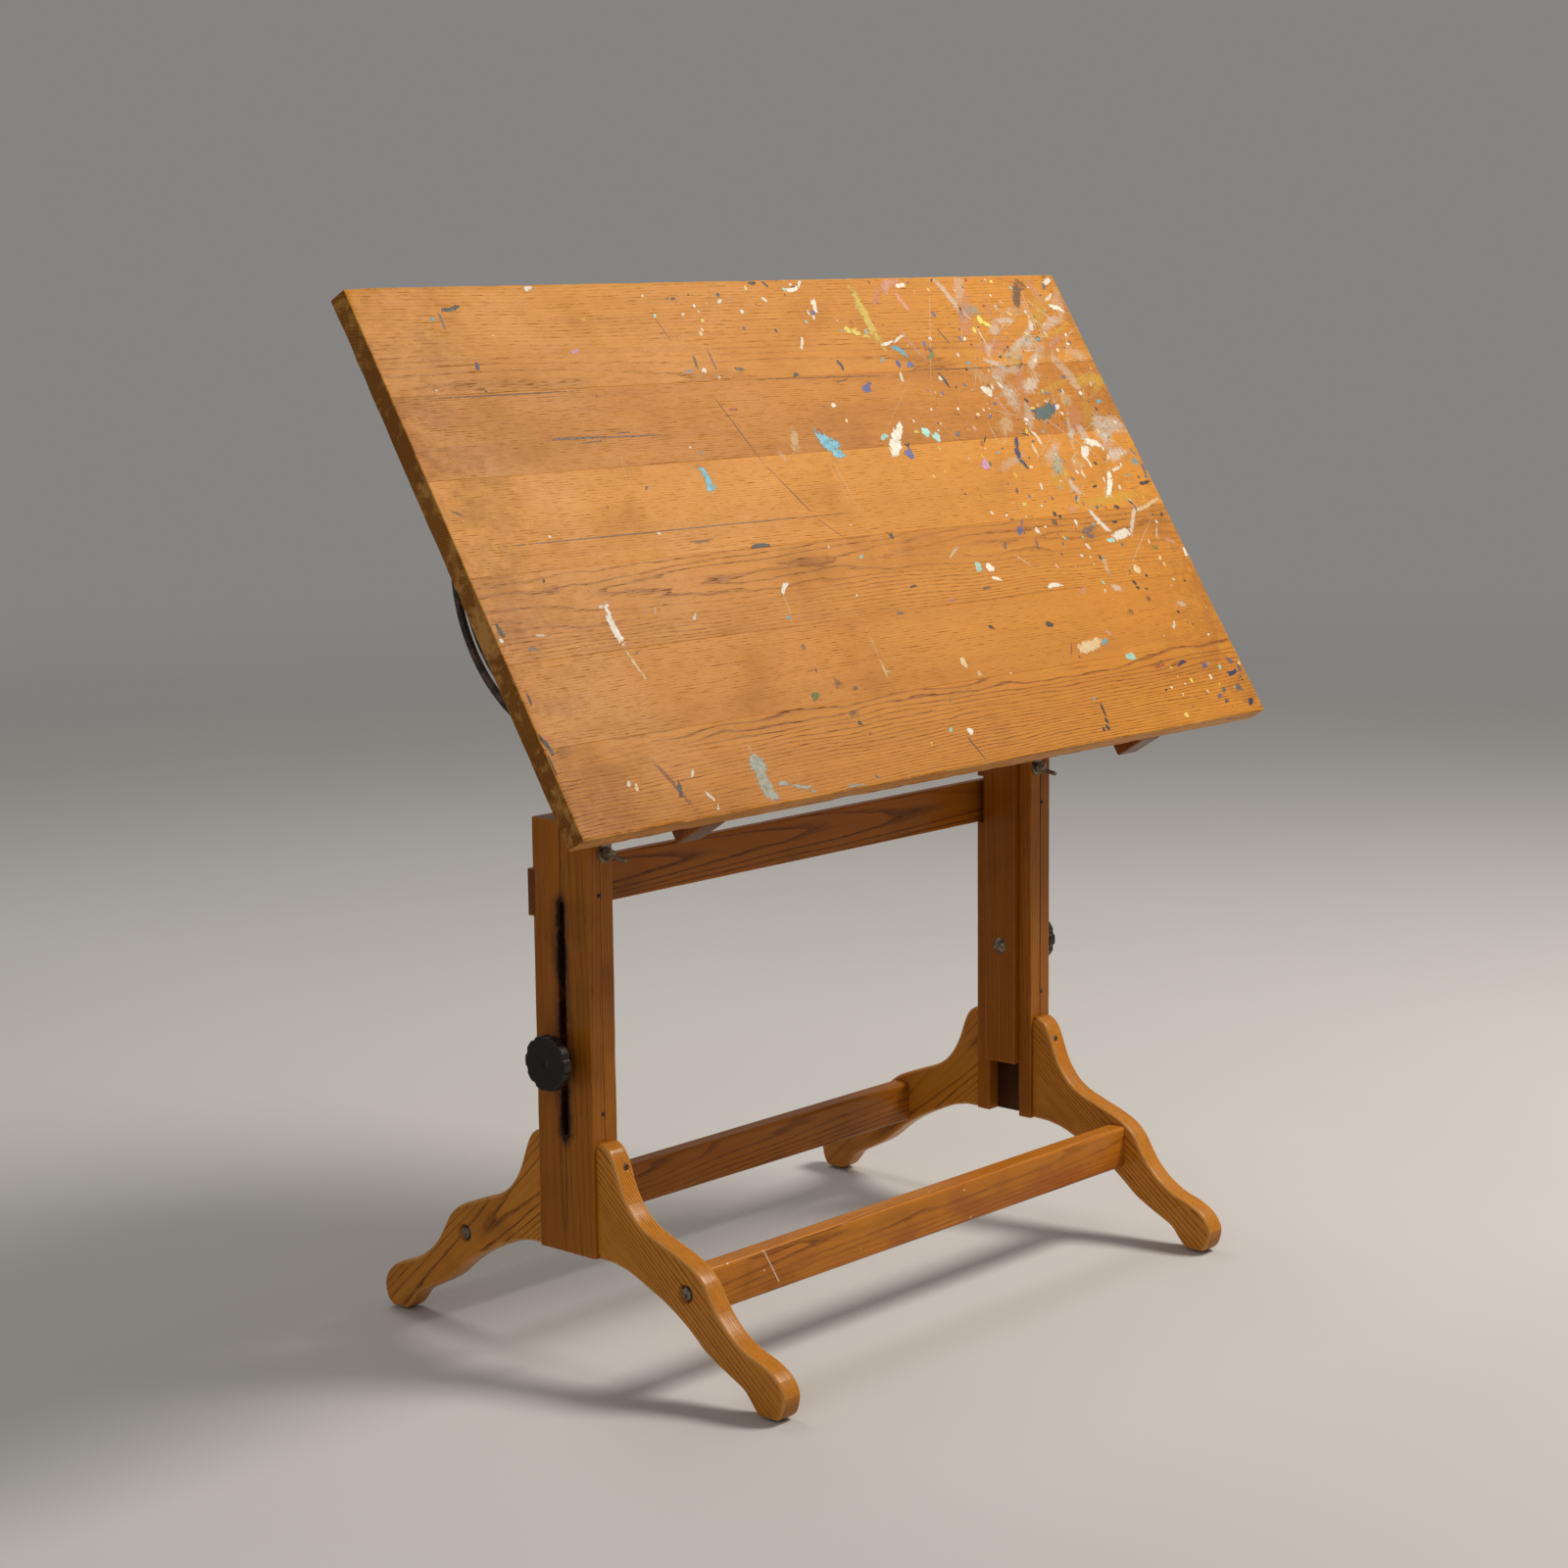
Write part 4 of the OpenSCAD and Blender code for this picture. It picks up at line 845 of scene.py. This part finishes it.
def nailStain(paint, wood):
    # iron stain that has bled along the grain from each nail
    nailLow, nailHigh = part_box("edge_nails")
    side = paint.size(paint.dot(wood["at"], xAxis)) - (nailHigh.x - 0.0025)
    front = paint.ease(paint.dot(wood["at"], yAxis), nailLow.y + 0.001, nailLow.y + 0.003, 1, 0)
    for height in nailHeights():
        up = (paint.dot(wood["at"], zAxis) - height) * 0.5
        away = (side * side + up * up) ** 0.5 + (wood["ragged"] - 0.5) * 0.004
        stain = paint.ease(away, 0.0022, 0.0052, 1, 0) * front
        wood["colour"] = paint.mix(stain * 0.85, wood["colour"], (0.022, 0.009, 0.004))


def railStain(paint, wood):
    # paler worn line along the rail's lower edge
    z = paint.dot(wood["at"], zAxis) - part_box("top_rail")[0].z
    line = paint.ease(z + (wood["ragged"] - 0.5) * 0.004, 0.0005, 0.0035, 1, 0)
    wood["colour"] = paint.mix(line * 0.5, wood["colour"], (0.46, 0.16, 0.02))


def stretcherMarks(paint, wood):
    # reddish stains, a few white specks and one long thin scratch
    at = wood["at"]
    x = paint.dot(at, xAxis)
    z = paint.dot(at, zAxis) - boxMiddle("stretcher_front").z
    stain = paint.ease(paint.noise(paint.stretch(at, (7, 7, 16), (4, 1, 2)), 1, 3), 0.50, 0.66)
    colour = paint.mix(stain * 0.6, wood["colour"], (0.30, 0.070, 0.016))
    line = paint.size((x + 0.283) * 0.86 + (z - 0.004) * 0.51)
    along = paint.size((x + 0.283) * -0.51 + (z - 0.004) * 0.86)
    scratch = paint.ease(line, 0.0004, 0.0012, 1, 0) * paint.ease(along, 0.022, 0.026, 1, 0)
    colour = paint.mix(scratch * 0.8, colour, (0.75, 0.62, 0.45))
    spot, tint = (paint.add("ShaderNodeTexVoronoi", {}, {"Vector": at, "Scale": 85.0}, out)
                  for out in ("Distance", "Color"))
    luck = paint.add("ShaderNodeSeparateColor", {}, {0: tint}, 0)
    speck = paint.ease(spot, 0.08, 0.12, 1, 0) * paint.ease(luck, 0.88, 0.9)
    wood["colour"] = paint.mix(speck * 0.8, colour, paintPot["white"])


def camel(node):
    first, *rest = node.split("_")
    return first + "".join(word.title() for word in rest)


def timberPiece(node, kind, seed, extra=None, changes=None):
    look = timber[kind]
    low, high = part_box(node)
    long = look["grain"]
    near, far = timberMesh["rimCuts"]
    cuts = [(long, steps(low.dot(long), high.dot(long), timberMesh["cut"]))]
    for axis in (xAxis, yAxis, zAxis):
        if axis != long:
            a, b = low.dot(axis), high.dot(axis)
            wide = b - a > timberMesh["wide"]
            cuts.append((axis, [a + near, a + far, b - far, b - near] if wide else [a + near, b - near]))
    square = kind != "stretcher"
    rim = onBox(node) if square else endEdges(node)
    piece = softened(node, [(look["round"], rim, square)], cuts, timberMesh["nick"], seed=seed)
    tone = {**frameTone, **timberTones[kind], **(changes or {}), "seed": seed}
    wear(piece, oakMaterial(camel(node) + "Oak", tone, long, look["face"], boxMiddle(node), extra))


seed = 11.0
for side in ("left", "right"):
    timberPiece("side_board_" + side, "side_board", seed, slotStainAndInnerShade("side_board_" + side),
                {"pithSide": 0.02 if side == "left" else -0.03})
    timberPiece("stile_front_" + side, "stile", seed + 1, nailStain)
    timberPiece("stile_rear_" + side, "stile", seed + 2)
    timberPiece("post_" + side, "post", seed + 3)
    seed += 5
timberPiece("top_rail", "top_rail", 31.0, railStain, {"pithSide": 0.004})
timberPiece("stretcher_front", "stretcher", 41.0, stretcherMarks)
timberPiece("stretcher_rear", "stretcher", 43.0, None,
            {"pale": (0.36, 0.120, 0.009), "mid": (0.27, 0.084, 0.005)})
print("uprights, posts, rail and stretchers made")

# battens lie along the slope
# the battens' pale and mid tones are darkened: painted shade for the shade under the board
battenLook = {**frameTone, "pale": (0.26, 0.070, 0.006), "mid": (0.18, 0.045, 0.004), "ring": 0.006,
              "pithDepth": 0.05, "lean": 0.03, "grain": 0.5}
battenPiece = {"round": 0.0022, "cut": 0.02, "rimCuts": (0.004, 0.010), "nick": 0.0009, "shortest": 0.02}
axes = {"x": acrossBoard, "up": upBoard, "out": outOfBoard}
for side, seed in (("left", 51.0), ("right", 53.0)):
    node = "batten_" + side
    spans = {key: reach([node], axis) for key, axis in axes.items()}

    def battenRim(a, b, spans=spans):
        mid = (a + b) / 2
        direction = (b - a).normalized()
        hits = 0
        for key, axis in axes.items():
            if abs(direction.dot(axis)) < steep:
                value = mid.dot(axis)
                hits += min(value - spans[key][0], spans[key][1] - value) < slack["box"]
        return hits >= 2 and (b - a).length > battenPiece["shortest"]

    near, far = battenPiece["rimCuts"]
    cuts = [(upBoard, steps(*spans["up"], battenPiece["cut"])),
            (acrossBoard, [spans["x"][0] + near, spans["x"][1] - near]),
            (outOfBoard, [spans["out"][0] + near, spans["out"][0] + far])]
    piece = softened(node, [(battenPiece["round"], battenRim, True)], cuts, battenPiece["nick"], seed=seed)
    middle = (acrossBoard * sum(spans["x"]) + upBoard * sum(spans["up"]) + outOfBoard * sum(spans["out"])) / 2
    look = {**battenLook, "seed": seed}
    wear(piece, oakMaterial("battenOak" + side.title(), look, upBoard, acrossBoard, middle))
print("battens made")


# legs

legPiece = {
    "round": 0.0042, "cut": 0.009, "nick": 0.0009, "counterbore": 0.013, "fall": 0.65, "out": 0.76,
    "tone": {"pale": (0.60, 0.234, 0.026), "mid": (0.47, 0.164, 0.015), "dark": (0.18, 0.052, 0.006),
             "bare": (0.64, 0.33, 0.10), "end": (0.24, 0.082, 0.011), "rubWidth": 0.0050, "rub": 0.5,
             "rough": 0.3, "coat": 0.12, "ring": 0.0032, "pithSide": 0.03, "pithDepth": 0.05, "lean": 0.02,
             "sway": 0.018, "grain": 1.0, "grime": 0.4},
}


def legRim(node, end):
    low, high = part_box(node)
    joint = min(abs(low.y), abs(high.y))
    # the bolt's counterbore keeps its own crisp edge
    boltLow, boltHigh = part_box("stretcher_bolts")
    boltY = end * (max(abs(boltLow.y), abs(boltHigh.y)) - (boltHigh.z - boltLow.z) / 2)
    boltZ = (boltLow.z + boltHigh.z) / 2

    def test(a, b):
        mid = (a + b) / 2
        onSide = min(mid.x - low.x, high.x - mid.x) < slack["board"]
        flat = abs((b - a).normalized().x) < steep
        clear = math.hypot(mid.y - boltY, mid.z - boltZ) > legPiece["counterbore"]
        return onSide and flat and clear and abs(mid.y) > joint + 0.0005
    return test


for number, node in enumerate(("leg_front_left", "leg_rear_left", "leg_front_right", "leg_rear_right")):
    low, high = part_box(node)
    end = -1 if "front" in node else 1
    along = Vector((0, end * legPiece["out"], -legPiece["fall"])).normalized()
    middle = boxMiddle(node)
    cut = legPiece["cut"]
    cuts = [(yAxis, steps(low.y, high.y, cut)), (zAxis, steps(low.z, high.z, cut)),
            (xAxis, [low.x + cut, middle.x, high.x - cut])]
    rounds = [(legPiece["round"], legRim(node, end), True)]
    piece = softened(node, rounds, cuts, legPiece["nick"], 4, 40, number + 61.0)
    tone = {**legPiece["tone"], "seed": 61.0 + number * 1.7}
    wear(piece, oakMaterial("legOak" + str(number + 1), tone, along, along.cross(xAxis), middle))
print("legs made")


# iron and hardware

agedSteel = metalMaterial("agedSteel", (0.30, 0.25, 0.19), (0.10, 0.075, 0.05), 0.36, 0.9,
                          (0.09, 0.045, 0.02))
plainSteel = metalMaterial("plainSteel", (0.52, 0.50, 0.46), (0.25, 0.22, 0.19), 0.30)
blackNail = metalMaterial("blackNail", (0.05, 0.035, 0.025), (0.02, 0.012, 0.008), 0.5, 0.5)
dullBrass = metalMaterial("dullBrass", (0.55, 0.38, 0.14), (0.26, 0.16, 0.06), 0.32)
blackIron = ironMaterial("blackIron")
blackMoulding = knobMaterial("blackMoulding")


quadrantPiece = {"round": 0.0009, "plateFrom": 0.09, "rimFrom": 0.055}
knobPiece = {"round": 0.0022, "thick": 0.012, "backSlack": 0.0006, "rimFrom": 0.022}


def plateRim(node):
    # the rims of the curved plate, clear of its feet
    plate = [v.co.x for v in nodes[node].data.vertices
             if v.co.dot(outOfBoard) < boardBack - quadrantPiece["plateFrom"]]
    inner, outer = min(plate), max(plate)

    def test(a, b):
        mid = (a + b) / 2
        onPlate = min(abs(mid.x - inner), abs(mid.x - outer)) < slack["iron"]
        return onPlate and mid.dot(outOfBoard) < boardBack - quadrantPiece["rimFrom"]
    return test


def knobRim(node):
    low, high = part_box(node)
    middle = boxMiddle(node)
    front = max(abs(low.x), abs(high.x))
    back = front - knobPiece["thick"]

    def test(a, b):
        mid = (a + b) / 2
        span = math.hypot(mid.y, mid.z - middle.z)
        onFace = abs(abs(mid.x) - front) < slack["iron"] or abs(abs(mid.x) - back) < knobPiece["backSlack"]
        return onFace and span > knobPiece["rimFrom"] and abs((b - a).normalized().x) < steep
    return test


for side in ("left", "right"):
    node = "quadrant_" + side
    wear(softened(node, [(quadrantPiece["round"], plateRim(node), True)], segments=2, smooth=30), blackIron)
    node = "knob_" + side
    wear(softened(node, [(knobPiece["round"], knobRim(node), True)], segments=4, smooth=34), blackMoulding)


def castWings(node):
    # wing nuts and thumb screws: hub and ears run into each other as in a casting
    piece = softened(node, [])
    piece.modifiers.clear()
    melt = piece.modifiers.new("melt", "REMESH")
    melt.mode = "VOXEL"
    melt.voxel_size = 0.0006
    rub = piece.modifiers.new("rub", "SMOOTH")
    rub.factor = 0.6
    rub.iterations = 7
    solid = bpy.data.meshes.new_from_object(piece.evaluated_get(bpy.context.evaluated_depsgraph_get()))
    piece.modifiers.clear()
    piece.data = solid
    solid.shade_smooth()
    return piece


for node in ("thumb_screw_left", "thumb_screw_right", "clamp_wing_nut_left", "clamp_wing_nut_right"):
    wear(castWings(node), agedSteel)

finishOf = {"aged_steel": agedSteel, "plain_steel": plainSteel, "bush_brass": dullBrass}
for name, node in nodes.items():
    if node.hide_render:
        continue
    material = finishOf.get(slotOf[name])
    if name == "edge_nails":
        material = blackNail
    if name == "leg_dowels":
        look = {"pale": (0.62, 0.42, 0.22), "mid": (0.52, 0.33, 0.16), "grain": 0.2, "seed": 71.0}
        material = oakMaterial("dowelBeech", look, yAxis, zAxis, boxMiddle(name))
    wear(node, material)
print("hardware finished")


# floor, light and camera

stage = {"floor": (0.60, 0.585, 0.565), "radius": 9.0, "fadeFrom": 2.6, "fadeTo": 8.5, "dim": 0.24,
         "air": (1.0, 0.97, 0.93, 1)}
lights = {
    "key": {"place": (2.2, -2.0, 3.6), "target": (0, 0, 0.75), "size": 1.5, "power": 165,
            "colour": (1.0, 0.95, 0.87)},
    "fill": {"place": (-3.6, -1.6, 2.2), "target": (0, 0, 0.5), "size": 2.2, "power": 16,
             "colour": (1.0, 0.96, 0.90)},
    "back": {"place": (0.5, 2.2, 3.4), "target": (0, 0, 0.6), "size": 1.6, "power": 26,
             "colour": (1, 1, 1)},
}


def studioFloor():
    bm = bmesh.new()
    bmesh.ops.create_circle(bm, cap_ends=True, segments=96, radius=stage["radius"])
    mesh = bpy.data.meshes.new("studioFloor")
    bm.to_mesh(mesh)
    bm.free()
    floor = bpy.data.objects.new("studioFloor", mesh)
    bpy.context.scene.collection.objects.link(floor)
    paint = Paint("paleFloor")
    soft = paint.noise(paint.place(), 1.3, 3)
    speck = paint.noise(paint.place(), 160.0, 2)
    colour = paint.mix(soft, stage["floor"], tuple(c * 0.93 for c in stage["floor"]))
    away = paint.add("ShaderNodeVectorMath", {"operation": "LENGTH"}, {0: paint.place()}, "Value")
    shown = paint.ease(away, stage["fadeFrom"], stage["fadeTo"], 1, 0)  # the floor runs out into the backdrop
    rough = (speck - 0.5) * 0.2 + 0.7
    normal = paint.bump(speck, 0.08, 0.0004)
    mesh.materials.append(paint.finish(colour, rough, normal, fixed={"Specular IOR Level": 0.2}, alpha=shown))


def softLight(name, place, target, size, power, colour):
    light = bpy.data.lights.new(name, "AREA")
    light.shape = "DISK"
    light.size = size
    light.energy = power
    light.color = colour
    lamp = bpy.data.objects.new(name, light)
    lamp.location = place
    lamp.rotation_euler = (Vector(target) - Vector(place)).to_track_quat("-Z", "Y").to_euler()
    bpy.context.scene.collection.objects.link(lamp)


def aim():
    # turned to the left end, a little above the middle
    camera = {"place": Vector((-2.8858, -2.5644, 1.2342)), "turn": -47.94, "down": 9.18, "roll": -0.60,
              "lens": 75.4}
    turn, down, roll = (math.radians(camera[key]) for key in ("turn", "down", "roll"))
    ahead = Vector((-math.sin(turn) * math.cos(down), math.cos(turn) * math.cos(down), -math.sin(down)))
    right = Vector((math.cos(turn), math.sin(turn), 0))
    up = right.cross(ahead)
    tiltedRight = right * math.cos(roll) + up * math.sin(roll)
    tiltedUp = up * math.cos(roll) - right * math.sin(roll)
    eye = bpy.data.cameras.new("camera")
    eye.lens = camera["lens"]
    eye.sensor_width = 36
    eye.clip_end = 60
    rig = bpy.data.objects.new("camera", eye)
    axes = Matrix((tiltedRight, tiltedUp, -ahead)).transposed()
    rig.matrix_world = Matrix.Translation(camera["place"]) @ axes.to_4x4()
    bpy.context.scene.collection.objects.link(rig)
    bpy.context.scene.camera = rig


studioFloor()
for name, light in lights.items():
    softLight(name, **light)
world = bpy.data.worlds.new("softRoom")
world.use_nodes = True
world.node_tree.nodes["Background"].inputs[0].default_value = stage["air"]
world.node_tree.nodes["Background"].inputs[1].default_value = stage["dim"]
bpy.context.scene.world = world
bpy.context.scene.view_settings.view_transform = "Standard"
aim()
print("stage set")
